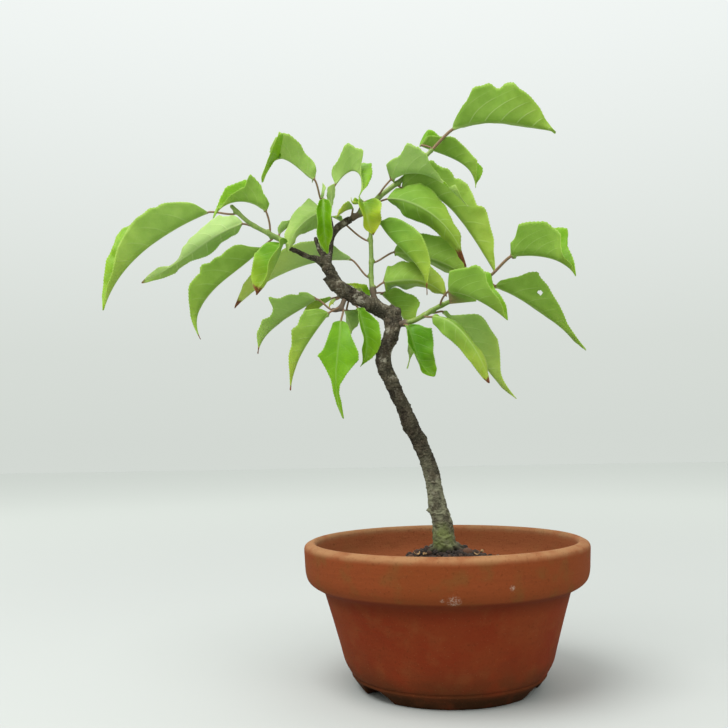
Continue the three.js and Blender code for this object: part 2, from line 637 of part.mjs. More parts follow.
addPiece("pot", potGeometry(), finish.clay);
addPiece("drain_screen", screenGeometry(), finish.screen);
addPiece("soil", soilGeometry(), finish.soil);

const wood = Object.values(WOOD)
  .map((stem) => toSolid(stemGeometry(stem, { sides: stem.sides, rough: BARK_ROUGHNESS })))
  .reduce((whole, stem) => whole.add(stem));
addPiece("trunk", toGeometry(wood), finish.bark);

for (const [name, shoot] of Object.entries(SHOOTS)) {
  addPiece(name, stemGeometry(shoot, { sides: SHOOT_SIDES }), finish.shoot);
}

LEAVES.forEach(([name, stem, at, midrib, edge, differences], number) => {
  const form = { ...ORDINARY, ...differences };
  const geometry = leafGeometry({ stem, at, midrib, edge, form }, number);
  addPiece(`leaf_${name}`, geometry, form.upper ? finish.upperside : finish.underside);
});

// Set down: the origin lies under the middle of the whole, on the surface that the foot ring rests on
const box = new THREE.Box3().setFromObject(bonsai);
const centre = box.getCenter(new THREE.Vector3());
bonsai.position.set(-centre.x, -centre.y, -box.min.z);
bonsai.updateMatrixWorld(true);

export default bonsai;
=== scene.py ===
"""A Japanese apricot (ume) trained as a small bonsai, standing in a round unglazed clay pot.

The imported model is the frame, in metres with +Z up. Sizes and places here are millimetres about the
pot's axis, and each mesh is put in the frame when it is made. Materials read their heights in metres.
"""

import bpy
import numpy as np
from mathutils import Matrix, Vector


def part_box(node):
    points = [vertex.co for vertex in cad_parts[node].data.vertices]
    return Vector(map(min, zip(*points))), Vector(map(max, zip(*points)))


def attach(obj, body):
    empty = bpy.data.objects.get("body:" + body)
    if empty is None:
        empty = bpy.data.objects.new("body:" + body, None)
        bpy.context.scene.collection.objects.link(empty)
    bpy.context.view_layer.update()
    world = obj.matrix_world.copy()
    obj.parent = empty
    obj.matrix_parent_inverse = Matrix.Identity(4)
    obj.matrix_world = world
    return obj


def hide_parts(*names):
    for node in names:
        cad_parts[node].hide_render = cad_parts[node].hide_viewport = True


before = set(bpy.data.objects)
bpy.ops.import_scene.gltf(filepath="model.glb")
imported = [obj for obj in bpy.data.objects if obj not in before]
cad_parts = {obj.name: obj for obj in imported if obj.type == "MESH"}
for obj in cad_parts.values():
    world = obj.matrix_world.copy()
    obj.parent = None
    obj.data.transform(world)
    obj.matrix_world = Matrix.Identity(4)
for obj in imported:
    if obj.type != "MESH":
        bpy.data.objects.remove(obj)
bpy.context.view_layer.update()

# The pot: a round training pot of unglazed red clay, turned on a wheel with a thick band under its lip
# and fired. Three low arches are cut through its foot ring, so that water runs out.
pot_low, pot_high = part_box("pot")
AXIS = (np.array(pot_low) + np.array(pot_high)) / 2 * [1, 1, 0]
POT_TURNS = 384
FLOOR_UNDERSIDE = 5.6
# radius, height and how far the corner is rounded, from the drain hole along the underside, up the
# outside and down the inside
POT_PROFILE = np.array([
    (10, 5.6, 0.5), (29.5, 5.6, 1), (31, 4, 1), (31.6, 0.5, 0.3), (32.2, 0, 0.3), (36.4, 0, 0.4),
    (37, 0.5, 0.4), (40.8, 5.6, 0.35), (40.3, 6.3, 0.3), (41.2, 7, 0.5), (43.7, 11.3, 3), (45, 16.6, 3),
    (48.3, 28.5, 3), (51.5, 39.3, 1), (52.4, 40.5, 0.8), (57, 43.1, 1.4), (58.7, 45, 1.2), (59.5, 48, 2),
    (60, 57.6, 0.9), (59.6, 58.9, 0.8), (57, 60.2, 0.9), (56, 60.1, 0.6), (55, 59, 0.8), (54.4, 50, 3),
    (51.4, 45, 3), (44.2, 32.5, 4), (39.7, 14.5, 2.5), (36, 10.5, 2), (10, 10.5, 0.5),
])
# the foot ring's inner and outer wall, radius and height, from the foot to the underside of the floor
RING_WALLS = [(31.6, 0.5), (31, 4), (29.5, 5.6)], [(37, 0.5), (40.8, 5.6)]
RING_OUTERMOST = 41
ARCH_DIRECTIONS = np.radians([-140, -24, 98])
ARCH_HALF_WIDTH, ARCH_FLAT, ARCH_HEIGHT = 9, 4, 5


def round_corners(corners):
    """Each corner becomes a short quadratic curve that starts and ends on its two sides."""
    place, reach = corners[:, :2], corners[:, 2:]
    after = np.roll(place, -1, 0) - place
    length = np.linalg.norm(after, axis=1, keepdims=True)
    before, before_length = np.roll(after, 1, 0), np.roll(length, 1, 0)
    start = place - before / before_length * np.minimum(reach, 0.45 * before_length)
    end = place + after / length * np.minimum(reach, 0.45 * length)
    t = np.linspace(0, 1, 4)[None, :, None]
    curves = (1 - t) ** 2 * start[:, None] + 2 * t * (1 - t) * place[:, None] + t ** 2 * end[:, None]
    return curves.reshape(-1, 2)


def even_out(line, step):
    """The same closed line, with more points so that no two neighbours are much over a step apart."""
    loop = np.vstack([line, line[:1]])
    run = np.concatenate([[0], np.cumsum(np.linalg.norm(np.diff(loop, axis=0), axis=1))])
    filler = np.arange(step, run[-1], step)
    clear = np.abs(filler[:, None] - run[None, :]).min(1) > 0.35 * step
    places = np.sort(np.concatenate([run[:-1], filler[clear]]))
    return np.stack([np.interp(places, run, loop[:, k]) for k in (0, 1)], 1)


def turned_pot():
    """A surface of two parameters: the turn about the axis, and the place along the closed profile.

    Within an arch the foot ring's section is squeezed upwards, from its own height to what the arch
    leaves of it, and keeps to the slope of the ring's two walls. From its flat middle an arch falls by
    the square of a share that grows with the root of the way aside. The wheel leaves the whole a hair
    out of round."""
    profile = even_out(round_corners(POT_PROFILE), 3)
    turn = np.linspace(0, 2 * np.pi, POT_TURNS, endpoint=False)[:, None]
    radius, height = profile[None, :, 0] + 0 * turn, profile[None, :, 1] + 0 * turn
    lift = np.zeros_like(radius)
    flat, end = ARCH_FLAT ** 0.5, ARCH_HALF_WIDTH ** 0.5
    for direction in ARCH_DIRECTIONS:
        aside = np.abs(radius * np.sin(turn - direction))
        fall = np.clip((np.sqrt(aside) - flat) / (end - flat), 0, 1)
        lift = np.maximum(lift, ARCH_HEIGHT * (1 - fall ** 2) * (np.cos(turn - direction) > 0))
    in_foot = (height < FLOOR_UNDERSIDE) & (radius < RING_OUTERMOST)
    raised = np.where(in_foot, lift + height * (1 - lift / FLOOR_UNDERSIDE), height)
    walls = [np.transpose(wall) for wall in RING_WALLS]
    slid = [np.interp(raised, up, out) - np.interp(height, up, out) for out, up in walls]
    innermost, outermost = RING_WALLS[0][0][0], RING_WALLS[1][0][0]
    share = np.clip((radius - innermost) / (outermost - innermost), 0, 1)
    radius = np.where(in_foot, radius + (1 - share) * slid[0] + share * slid[1], radius)
    radius = radius * (1 + 0.0012 * np.sin(2 * turn + 0.7) + 0.0006 * np.sin(3 * turn + height / 9))
    return np.stack([radius * np.cos(turn), radius * np.sin(turn), raised], -1)


def to_mesh(name, points, faces, caps=(), **marks):
    """A mesh of quads or triangles and any closing caps, with a float attribute for each mark."""
    mesh = bpy.data.meshes.new(name)
    placed = np.asarray(points, float).reshape(-1, 3) / 1000 + AXIS
    corners = np.concatenate([np.ravel(faces), *[np.ravel(c) for c in caps]]).astype(np.int32)
    sizes = [faces.shape[1]] * len(faces) + [len(c) for c in caps]
    mesh.vertices.add(len(placed))
    mesh.vertices.foreach_set("co", placed.ravel())
    mesh.loops.add(len(corners))
    mesh.loops.foreach_set("vertex_index", corners)
    mesh.polygons.add(len(sizes))
    mesh.polygons.foreach_set("loop_start", np.cumsum([0] + sizes[:-1]).astype(np.int32))
    mesh.update(calc_edges=True)
    mesh.shade_smooth()
    add_marks(mesh, marks)
    return mesh


def add_marks(mesh, marks):
    """A float attribute for each mark."""
    for mark, values in marks.items():
        layer = mesh.attributes.new(mark, "FLOAT", "POINT")
        layer.data.foreach_set("value", np.ravel(values).astype(np.float32))


def ring_faces(rings, places, joined=False):
    """Quads between each ring and the next, every ring being closed; the caps are the two end rings."""
    index = np.arange(rings * places).reshape(rings, places)
    near, far = (index, np.roll(index, -1, 0)) if joined else (index[:-1], index[1:])
    quads = np.stack([near, np.roll(near, -1, 1), np.roll(far, -1, 1), far], -1).reshape(-1, 4)
    return quads, () if joined else (index[0][::-1], index[-1])


def read(items, key, kind=float):
    """The three values that each item of a mesh holds under a key."""
    values = np.empty(len(items) * 3, kind)
    items.foreach_get(key, values)
    return values.reshape(-1, 3)


def outwards(mesh):
    """Turns a closed mesh's faces round if its volume counts as less than nothing."""
    mesh.calc_loop_triangles()
    corners = read(mesh.loop_triangles, "vertices", np.int32)
    a, b, c = (read(mesh.vertices, "co") - AXIS)[corners].transpose(1, 0, 2)
    if np.einsum("ij,ij", a, np.cross(b, c)) < 0:
        mesh.flip_normals()
    return mesh


def stand(name, mesh, material, slot, *nodes):
    """Puts a finished mesh in the scene as a piece that rides on the tree and stands for CAD nodes."""
    piece = bpy.data.objects.new(name, outwards(mesh))
    bpy.context.scene.collection.objects.link(piece)
    mesh.materials.append(material)
    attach(piece, "root")
    if nodes:
        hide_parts(*nodes)


def tint(code):
    """A colour written as in a paint book, as light: each part c becomes ((c + 0.055) / 1.055) ** 2.4."""
    parts = np.array([int(code[k:k + 2], 16) for k in (0, 2, 4)]) / 255
    light = np.where(parts > 0.04, ((parts + 0.055) / 1.055) ** 2.4, parts / 12.92)
    return (*light.tolist(), 1)


class Finish:
    """A material under construction: coats are laid over its first colour, and all ends in one shader."""

    def __init__(self, name, colour, **settings):
        self.material = bpy.data.materials.new(name)
        self.material.use_nodes = True
        self.nodes = self.material.node_tree.nodes
        self.links = self.material.node_tree.links
        self.shader = self.nodes["Principled BSDF"]
        for socket, value in settings.items():
            self.shader.inputs[socket.replace("_", " ")].default_value = value
        self.place = self.put("TexCoord").outputs["Object"]
        self.colour = colour

    def put(self, kind, inputs=None, **settings):
        """A new node of a kind, with a value or another node's output for each input."""
        made = self.nodes.new("ShaderNode" + kind)
        for name, value in settings.items():
            setattr(made, name, value)
        for socket, value in (inputs or {}).items():
            if isinstance(value, bpy.types.NodeSocket):
                self.links.new(value, made.inputs[socket])
            else:
                made.inputs[socket].default_value = value
        return made

    def rise(self, vector):
        """The upward part of a vector."""
        return self.put("SeparateXYZ", {0: vector}).outputs["Z"]

    def drawn_out(self, *scale):
        """The place, for a pattern that is drawn out wherever the scale is under one."""
        return self.put("Mapping", {"Vector": self.place, "Scale": scale}).outputs[0]

    def noise(self, size, detail=3, where=None, **inputs):
        """Cloudy noise whose features are about so many millimetres across."""
        wanted = {"Vector": where or self.place, "Scale": 1000 / size, "Detail": detail, **inputs}
        return self.put("TexNoise", wanted).outputs["Fac"]

    def cells(self, scale, **settings):
        """How far it is to the middle of the nearest of many small cells, or to what the settings say."""
        wanted = {"Vector": self.place, "Scale": scale}
        return self.put("TexVoronoi", wanted, **settings).outputs["Distance"]

    def ramp(self, value, low, high, start=0.0, end=1.0):
        """Eases from start to end while a value goes from low to high."""
        wanted = {"Value": value, "From Min": low, "From Max": high, "To Min": start, "To Max": end}
        return self.put("MapRange", wanted, interpolation_type="SMOOTHSTEP").outputs["Result"]

    def math(self, kind, a, b):
        """One sum with two values, of the kind that the node names."""
        return self.put("Math", {0: a, 1: b}, operation=kind).outputs[0]

    def times(self, a, b):
        """The product of two values."""
        return self.math("MULTIPLY", a, b)

    def blend(self, amount, a, b):
        """Goes from colour a to colour b by an amount; a colour may be a code."""
        a, b = (tint(colour) if isinstance(colour, str) else colour for colour in (a, b))
        return self.put("Mix", {"Factor": amount, 6: a, 7: b}, data_type="RGBA").outputs[2]

    def lay(self, coat, value, low=None, high=None, most=1.0):
        """Lays a coat over the colour: by a value, or the more the further it has gone from low to high."""
        amount = value if low is None else self.ramp(value, low, high, 0, most)
        self.colour = self.blend(amount, self.colour, coat)

    def mark(self, name):
        """The value of a mesh's mark."""
        return self.put("Attribute", attribute_name=name, attribute_type="GEOMETRY").outputs["Fac"]

    def away_from(self, vector, place):
        """The distance between two places in metres."""
        wanted = {0: vector, 1: tuple(place)}
        return self.put("VectorMath", wanted, operation="DISTANCE").outputs["Value"]

    def near(self, across, behind, up, reach):
        """1 within a spot round a place given in millimetres about the pot's axis, 0 beyond its reach."""
        distance = self.away_from(self.place, np.array([across, behind, up]) / 1000 + AXIS)
        return self.ramp(distance, 0.35 * reach / 1000, reach / 1000, 1, 0)
    def end(self, roughness=None, *bumps):
        """Joins the colour, the roughness and each bump, given as a height and its depth in mm."""
        self.links.new(self.colour, self.shader.inputs["Base Color"])
        if roughness is not None:
            self.links.new(roughness, self.shader.inputs["Roughness"])
        normal = None
        for height, depth in bumps:
            wanted = {"Height": height, "Distance": depth / 1000}
            if normal:
                wanted["Normal"] = normal
            normal = self.put("Bump", wanted).outputs["Normal"]
        if normal:
            self.links.new(normal, self.shader.inputs["Normal"])
        return self.material


clay = Finish("fired_clay", "7a371b", Roughness=0.92, Specular_IOR_Level=0.08)
height = clay.rise(clay.place)
patches = clay.noise(34, 3, Roughness=0.6)
mottling = clay.noise(9, 4)
grain = clay.noise(0.9, 2)
clay.lay("782e16", patches, 0.38, 0.66)
clay.lay("7f4526", mottling, 0.45, 0.75, 0.5)
banded = clay.blend(clay.ramp(patches, 0.35, 0.62), "7d3e1e", "803f20")
banded = clay.blend(clay.ramp(mottling, 0.48, 0.7, 0, 0.45), banded, "6c4c26")
clay.lay(banded, height, 0.0415, 0.0435)
# painted shade: the body just under the band is darkened, where the band's shadow falls
painted_shade_under_band = clay.times(clay.ramp(height, 0.034, 0.0405, 0, 0.5), clay.ramp(height, 0.0435, 0.042))
clay.lay("4e1f0f", painted_shade_under_band)
# painted light: the inside wall within the lip, from 43 mm up, is lightened where it lies in shade
level = clay.put("VectorMath", {0: clay.place, 1: (1, 1, 0)}, operation="MULTIPLY").outputs[0]
inside_lip_painted_light = clay.ramp(clay.away_from(level, AXIS), 0.0566, 0.0556)
clay.lay("a4623f", clay.times(inside_lip_painted_light, clay.ramp(height, 0.043, 0.046, 0, 0.55)))
ochre = clay.times(clay.ramp(height, 0.0566, 0.0596), clay.ramp(mottling, 0.25, 0.6, 0.3, 0.9))
clay.lay("9c7450", ochre)
throwing = clay.noise(1.7, 3, clay.drawn_out(0.15, 0.15, 1))
clay.lay("64301a", throwing, 0.5, 0.8, 0.25)
# darker towards the foot: partly damp staining, partly painted shade of the low body near the floor
damp_and_painted_shade = clay.times(clay.ramp(height, 0.026, 0.001), clay.ramp(clay.noise(14, 4), 0.3, 0.62))
clay.lay("4f3019", clay.times(damp_and_painted_shade, 0.75))
# the foot darkened further: partly staining, partly painted shade near the floor
foot_stain_and_painted_shade = clay.times(clay.ramp(height, 0.0085, 0.003), clay.ramp(mottling, 0.2, 0.55, 0.35, 1))
clay.lay("38200f", foot_stain_and_painted_shade)
clay.lay("a87c54", clay.cells(620), 0.16, 0.05, 0.14)
clay.lay("52280f", grain, 0.55, 0.8, 0.45)
bloom = clay.ramp(clay.noise(2 / 3, 3), 0.4, 0.7, 0.03, 0.6)
# pale mineral spots: across, behind, up and reach
SPOTS = ((2.6, -58, 44, 3.4), (-1.6, -58.4, 44.6, 1.2), (9.4, -58, 43.4, 1), (23.5, -54, 48.5, 1.6))
for spot in SPOTS:
    clay.lay("bda897", clay.times(clay.near(*spot), bloom))
fired_clay = clay.end(clay.ramp(mottling, 0.2, 0.8, 0.82, 0.94), (throwing, 0.12), (grain, 0.1))

pot_points = turned_pot()
pot_quads, _ = ring_faces(*pot_points.shape[:2], joined=True)
stand("thrown_pot", to_mesh("thrown_pot", pot_points, pot_quads), fired_clay, "clay", "pot")

# The drain screen: a moulded plastic mesh that lies over the drain hole and keeps the soil in. Its solid
# has the right shape already and stays, in dark matt plastic with a little dust.
plastic = Finish("screen_plastic", "1c2221", Roughness=0.55)
dust = plastic.noise(3, 4)
plastic.lay("4a3c2e", dust, 0.45, 0.75, 0.6)
screen_plastic = plastic.end(plastic.ramp(dust, 0.3, 0.8, 0.45, 0.8), (plastic.noise(0.6), 0.03))
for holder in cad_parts["drain_screen"].material_slots:
    holder.material = screen_plastic

# The potting soil: fired-clay granules, grit and bark crumbs, filled to a little under the lip and heaped
# round the trunk. A body of packed soil carries a layer of loose granules.
MOUND_HEIGHT, MOUND_SPREAD, SOIL_EDGE = 10.5, 22, 46
SINKS_FROM = 46  # the radius from which the soil sinks a little towards the wall
HOLE_RADIUS, HOLE_FLOOR = 6.9, 37.6


def soil_height(radius):
    """The edge height plus a bell round the axis."""
    return SOIL_EDGE + MOUND_HEIGHT * np.exp(-(radius / MOUND_SPREAD) ** 2)


def chance(key, *lattice):
    """A repeatable number from 0 to 1 for each point of a whole-number lattice."""
    mixed = sum(np.sin(part * factor) for part, factor in zip(lattice, (12.9898, 78.233, 37.719)))
    value = np.sin(mixed * 43.7 + sum(part * factor for part, factor in zip(lattice, (3.1, 7.7, 5.3))) + key)
    return (value * 43758.5453) % 1


def ease(x, low=0.0, high=1.0):
    """0 up to low, 1 from high, and between them 3 s s - 2 s s s of the share s of the way."""
    x = np.clip((x - low) / (high - low), 0, 1)
    return x * x * (3 - 2 * x)


def clouds(points, size, key=0.0, octaves=3):
    """Value noise from -1 to 1: random lattice values eased between the eight corners round a point,
    summed over octaves of half the size and half the height."""
    total, weight = 0, 1
    for octave in range(octaves):
        at = np.asarray(points) / size * 2 ** octave + 17.3 * octave
        base = np.floor(at)
        eased = ease(at - base)
        value = 0
        for corner in np.ndindex(2, 2, 2):
            share = np.prod(np.where(corner, eased, 1 - eased), -1)
            value = value + share * chance(key + octave, *np.moveaxis(base + corner, -1, 0))
        total = total + weight * (2 * value - 1)
        weight /= 2
    return total


grit = Finish("soil_grit", None, Roughness=0.95)
shade = grit.put("ValToRGB", {"Fac": grit.mark("kind")}, label="granule kinds")
stops = shade.color_ramp.elements
for position, code in ((0.0, "1d1510"), (0.3, "33231a"), (0.55, "4a3122"), (0.76, "694530"), (0.9, "8b7356")):
    stop = stops.new(position) if position else stops[0]
    stop.color = tint(code)
stops[-1].color = tint("857a6c")
grit.colour = shade.outputs["Color"]
grit.lay("1a130e", grit.noise(16, 3), 0.4, 0.65, 0.55)
grit.lay("5d4a39", grit.noise(0.8, 2), 0.5, 0.75, 0.5)
soil_grit = grit.end(None, (grit.noise(0.5, 4), 0.15))

around = np.linspace(0, 2 * np.pi, 200, endpoint=False)
top_radii = np.concatenate([np.arange(HOLE_RADIUS, SINKS_FROM, 0.55), [47.5, 49.2, 50.4]])
top_heights = soil_height(top_radii) - 0.18 * np.maximum(top_radii - SINKS_FROM, 0)
soil_line = np.concatenate([
    [(2.5, HOLE_FLOOR), (HOLE_RADIUS - 0.8, HOLE_FLOOR), (HOLE_RADIUS, 39), (HOLE_RADIUS, 47)],
    np.stack([top_radii, top_heights], 1),
    [(50.9, 44.8), (43.8, 32.5), (39.3, 14.5), (36, 12.1), (20, 12.1), (4, 12.1)],
])
radius, height = soil_line[:, :1], soil_line[:, 1:]
soil_points = np.stack([radius * np.cos(around), radius * np.sin(around), height + 0 * around], -1)
on_top = (radius > HOLE_RADIUS - 0.1) & (height > 45)
soil_points[..., 2] += on_top * (0.55 * clouds(soil_points, 3.2, 2.0) - 0.5)
soil_kinds = 0.22 + 0.2 * clouds(soil_points, 1.5, 6.0)
soil_quads, soil_caps = ring_faces(*soil_points.shape[:2])
soil_mesh = to_mesh("packed_soil", soil_points, soil_quads, soil_caps, kind=soil_kinds)
stand("packed_soil", soil_mesh, soil_grit, "soil", "soil")

# Loose granules: each is a small ball of forty-two points, stretched, turned and dented by noise, and set
# down on the packed soil in a sunflower order.
GRANULES, INNERMOST, OUTERMOST = 1450, 7.4, 49.2
GOLDEN_TURN = 2.39996
draw = np.random.default_rng(20)
bpy.ops.mesh.primitive_ico_sphere_add(subdivisions=2, radius=1)
ball = bpy.context.object
ball.data.calc_loop_triangles()
ball_points = read(ball.data.vertices, "co")
ball_faces = read(ball.data.loop_triangles, "vertices", np.int32)
bpy.data.objects.remove(ball)
rank = np.arange(GRANULES)
spread = np.sqrt(INNERMOST ** 2 + (OUTERMOST ** 2 - INNERMOST ** 2) * (rank + 0.5) / GRANULES)
turn = rank * GOLDEN_TURN + draw.normal(0, 0.05, GRANULES)
grade = np.clip(draw.lognormal(0.22, 0.3, GRANULES), 0.7, 2.2)
spread = np.clip(spread + draw.normal(0, 0.5, GRANULES), INNERMOST + 0.2, OUTERMOST + 0.4 - grade)
centres = np.stack([spread * np.cos(turn), spread * np.sin(turn), soil_height(spread)], 1)
centres[:, 2] += 0.25 * grade - 0.35 - 0.15 * np.maximum(spread - SINKS_FROM, 0)
spin, _ = np.linalg.qr(draw.normal(size=(GRANULES, 3, 3)))
shapes = ball_points[None] * draw.uniform(0.72, 1.15, (GRANULES, 1, 3)) * grade[:, None, None]
dents = clouds(ball_points[None] * 1.3 + rank[:, None, None] * 7.1, 1.0, 3.0, 2)
granule_points = centres[:, None] + shapes * (1 + 0.16 * dents)[..., None] @ spin
granule_faces = (ball_faces[None] + rank[:, None, None] * len(ball_points)).reshape(-1, 3)
granule_kinds = np.clip(draw.beta(1.6, 2.2, GRANULES) - 0.35 * np.exp(-((spread - 7) / 7) ** 2), 0, 1)
each_point = np.repeat(granule_kinds, len(ball_points))
granule_mesh = to_mesh("granules", granule_points, granule_faces, kind=each_point)
stand("soil_granules", granule_mesh, soil_grit, "soil")

# The grown wood: a bare curved trunk with its root flare, the left branch with a dead stub, a cut stub
# and a twig, the upper branch and a short crown spur. It is one body of old grey-brown bark, so the
# stems are merged and the bark is raised on the whole.
EYE_DISTANCE, EYE_HEIGHT = 381, 104.5
EYE = np.array([0, -EYE_DISTANCE, EYE_HEIGHT])
# places [across, up, behind] on an upright sheet seen from the eye, and the radius at each
WOOD = {
    "trunk": (
        [(0.5, 38, 0), (0, 48, 0), (-0.3, 53, 0), (-0.6, 57.5, 0), (-1, 66.5, -0.5), (-3, 74.5, -1),
         (-4.7, 85.5, 1), (-6.6, 92.7, 2), (-9.3, 100, 3), (-13.2, 107.5, 2), (-16, 115, 0),
         (-19.4, 122.7, -2), (-22.5, 130, -4), (-24.6, 136, -5), (-24.4, 141.5, -4), (-22, 145.5, -3),
         (-20.4, 150.5, -2), (-20.8, 156.5, 0), (-21.6, 159.6, 0.5)],
        [3.2, 4.8, 5.7, 4.9, 4.2, 3.7, 3.5, 3.5, 3.4, 3.3, 3.2, 3.2, 3.3, 3.4, 3.3, 3.2, 3.4, 4.1, 2.6]),
    "left_branch": (
        [(-20.8, 156.5, 0), (-26, 159.2, -1), (-31.3, 162.6, -2), (-36.6, 165.5, -3), (-40.8, 167.7, -4),
         (-44, 170.6, -4), (-45.8, 173.8, -3), (-47.9, 177.7, -2), (-49.6, 180.8, -1)],
        [3.4, 3.3, 3, 2.9, 3.5, 3, 2.7, 2.6, 2.6]),
    "dead_stub": (
        [(-45.5, 169.5, -6), (-47.8, 172, -8), (-50, 174.3, -9.5)], [1.9, 1.4, 1]),
    "cut_stub": (
        [(-49.4, 180, -1), (-50.3, 183.8, -1), (-52.3, 187.6, 0), (-53.9, 192.6, 1)], [2, 1.4, 1, 0.9]),
    "twig": (
        [(-48.8, 179.5, -1), (-52.9, 182.6, -3), (-57.3, 184, -6), (-61.6, 186.4, -9), (-65, 188, -11),
         (-66.6, 190, -11.7)],
        [2.3, 1.7, 1.3, 1.2, 1.1, 1]),
    "top_branch": (
        [(-49, 179.5, -1), (-47.8, 186.7, 2), (-46.8, 192, 4), (-44.2, 196.1, 6), (-41.5, 198.1, 8),
         (-38.2, 200, 9.8)],
        [2.4, 1.9, 1.7, 1.6, 1.7, 1.8]),
    "crown_spur": (
        [(-46.6, 192, 4), (-47.1, 199.2, 2.5), (-48.6, 205.6, 0.5), (-49.2, 208.4, 0)],
        [1.6, 1.3, 1.2, 1.1]),
}
# surface roots: the way each leaves the trunk, in degrees from the right, and how far it reaches; then
# how thick they all are on the way
ROOTS = ((172, 15), (205, 12), (238, 10), (292, 11), (338, 13), (8, 16), (52, 12), (96, 13), (135, 14))
ROOT_RADII = [2.1, 1.4, 1.0, 0.7, 0.5]
# knots and old buds on the bark: across, up, behind, reach and height
KNOTS = (
    (-27.2, 142.2, -4, 1.5, 1.0), (-16.4, 120.3, -1, 1.1, 0.8), (-16.9, 106.6, 2, 1.1, 0.9),
    (-13.5, 98.6, 3, 1.3, 0.9), (-8.2, 102.8, 3, 1.6, 0.8), (-4.0, 90.2, 1.5, 1.1, 0.7),
    (-6.6, 72.3, -1, 1.2, 0.9), (-0.4, 74.9, -1, 1.0, 0.8), (-20.6, 161.0, -3, 1.8, 1.2),
    (-17.6, 159.0, -2, 1.7, 1.1), (-41.6, 169.6, -5, 1.8, 1.0), (-17.2, 153.2, -3, 1.8, 1.0),
    (-12.9, 110.6, -3, 1.0, 0.6), (-9.5, 95.0, -2, 1.0, 0.6), (-4.1, 66.0, -5, 1.2, 0.6),
    (-26.5, 131.5, -7, 1.0, 0.6), (-22.0, 134.0, 4, 1.2, 0.7), (-7.2, 88.0, 5.5, 1.2, 0.8),
    (-1.5, 70.0, 4, 1.3, 0.9), (-13.0, 112.0, 5, 1.2, 0.8), (-33.5, 166.6, -3, 1.2, 0.8),
    (-36.8, 162.6, -4, 1.3, 0.9), (-49.6, 178.0, -3.5, 1.2, 0.7), (-45.2, 176.0, -1, 1.0, 0.6),
    (-27.4, 163.0, 0.5, 2.0, 1.0),
)
YOUNG_FROM, YOUNG_OVER = 176, 16  # from this height on, and over so much of it, the bark gets smoother


def in_space(places):
    """Each place is pushed along its line of sight from the eye, from the sheet to its own depth."""
    places = np.asarray(places, float)
    on_sheet = np.stack([places[..., 0], 0 * places[..., 0], places[..., 1]], -1)
    return EYE + (on_sheet - EYE) * (1 + places[..., 2:] / EYE_DISTANCE)


def follow(points, at):
    """A Catmull-Rom curve: between two places, the cubic whose slope at each place is half the step from
    the place before it to the place after it. at is 0 at the first place, 1 at the second and so on."""
    whole = np.vstack([2 * points[0] - points[1], points, 2 * points[-1] - points[-2]])
    first = np.clip(np.floor(at).astype(int), 0, len(points) - 2)
    w = (at - first)[:, None]
    a, b, c, d = (whole[first + k] for k in range(4))
    slope_b, slope_c = (c - a) / 2, (d - b) / 2
    curve = (2 * w ** 3 - 3 * w ** 2 + 1) * b + (w ** 3 - 2 * w ** 2 + w) * slope_b
    return curve + (3 * w ** 2 - 2 * w ** 3) * c + (w ** 3 - w ** 2) * slope_c


def unit(vectors):
    """The same directions, each divided by its length."""
    return vectors / np.maximum(np.linalg.norm(vectors, axis=-1, keepdims=True), 1e-9)


def stem_rings(points, radii, step, sides, swell=None, round_end=False):
    """A circle carried along a stem's curve. Each ring stands square to the curve and starts from the
    side that points most nearly away from the eye. swell, given the places and the turn, adds to the
    radius; round_end draws the last rings in as a ball does."""
    length = np.linalg.norm(np.diff(points, axis=0), axis=1).sum()
    at = np.linspace(0, len(points) - 1, int(length / step) + 2)
    centre = follow(points, at)
    along = unit(np.gradient(centre, axis=0))
    across = unit(np.array([0, 1, 0]) - along * along[:, 1:2])
    beside = np.cross(along, across)
    turn = np.linspace(0, 2 * np.pi, sides, endpoint=False)
    radius = np.interp(at, np.arange(len(radii)), radii)[:, None] + 0 * turn
    if swell:
        radius = radius + swell(at, centre, across, beside, turn)
    if round_end:
        run = np.concatenate([[0], np.cumsum(np.linalg.norm(np.diff(centre, axis=0), axis=1))])[:, None]
        to_end = (run[-1] - run) / radius
        radius = radius * np.sqrt(1 - (1 - np.clip(to_end, 0.06, 1)) ** 2)
    ring = np.cos(turn)[:, None] * across[:, None] + np.sin(turn)[:, None] * beside[:, None]
    return centre[:, None] + radius[..., None] * ring, at


def join_tubes(name, tubes, **marks):
    """One mesh of several closed tubes."""
    quads, caps, start = [], [], 0
    for rings in tubes:
        more, ends = ring_faces(*rings.shape[:2])
        quads.append(more + start)
        caps += [end + start for end in ends]
        start += rings.shape[0] * rings.shape[1]
    points = np.concatenate([rings.reshape(-1, 3) for rings in tubes])
    return to_mesh(name, points, np.concatenate(quads), caps, **marks)


def root_path(angle, reach):
    """Out of the trunk's foot, down over the mound and into the soil."""
    radius = np.array([2.2, 0.42 * reach, 0.68 * reach, 0.86 * reach, reach])
    height = soil_height(radius) + np.array([1.5, 0.2, -0.4, -1.1, -2.6])
    bend = np.radians(angle) + np.array([0, 0.02, 0.1, 0.04, -0.08])
    return np.stack([radius * np.cos(bend), radius * np.sin(bend), height], 1)


wood_tubes = [stem_rings(in_space(places), radii, 0.7, 28)[0] for places, radii in WOOD.values()]
wood_tubes += [stem_rings(root_path(*root), ROOT_RADII, 0.7, 16)[0] for root in ROOTS]
rough_wood = bpy.data.objects.new("rough_wood", join_tubes("rough_wood", wood_tubes))
bpy.context.scene.collection.objects.link(rough_wood)
merge = rough_wood.modifiers.new("merge", "REMESH")
merge.mode, merge.voxel_size, merge.use_smooth_shade = "VOXEL", 0.00032, True
ease_joints = rough_wood.modifiers.new("ease_joints", "SMOOTH")
ease_joints.factor, ease_joints.iterations = 0.5, 6
seen = rough_wood.evaluated_get(bpy.context.evaluated_depsgraph_get())
wood_mesh = bpy.data.meshes.new_from_object(seen)
wood_mesh.name = "bark_and_wood"
bpy.data.objects.remove(rough_wood)

bark_points = (read(wood_mesh.vertices, "co") - AXIS) * 1000
bark_out = read(wood_mesh.vertex_normals, "vector")


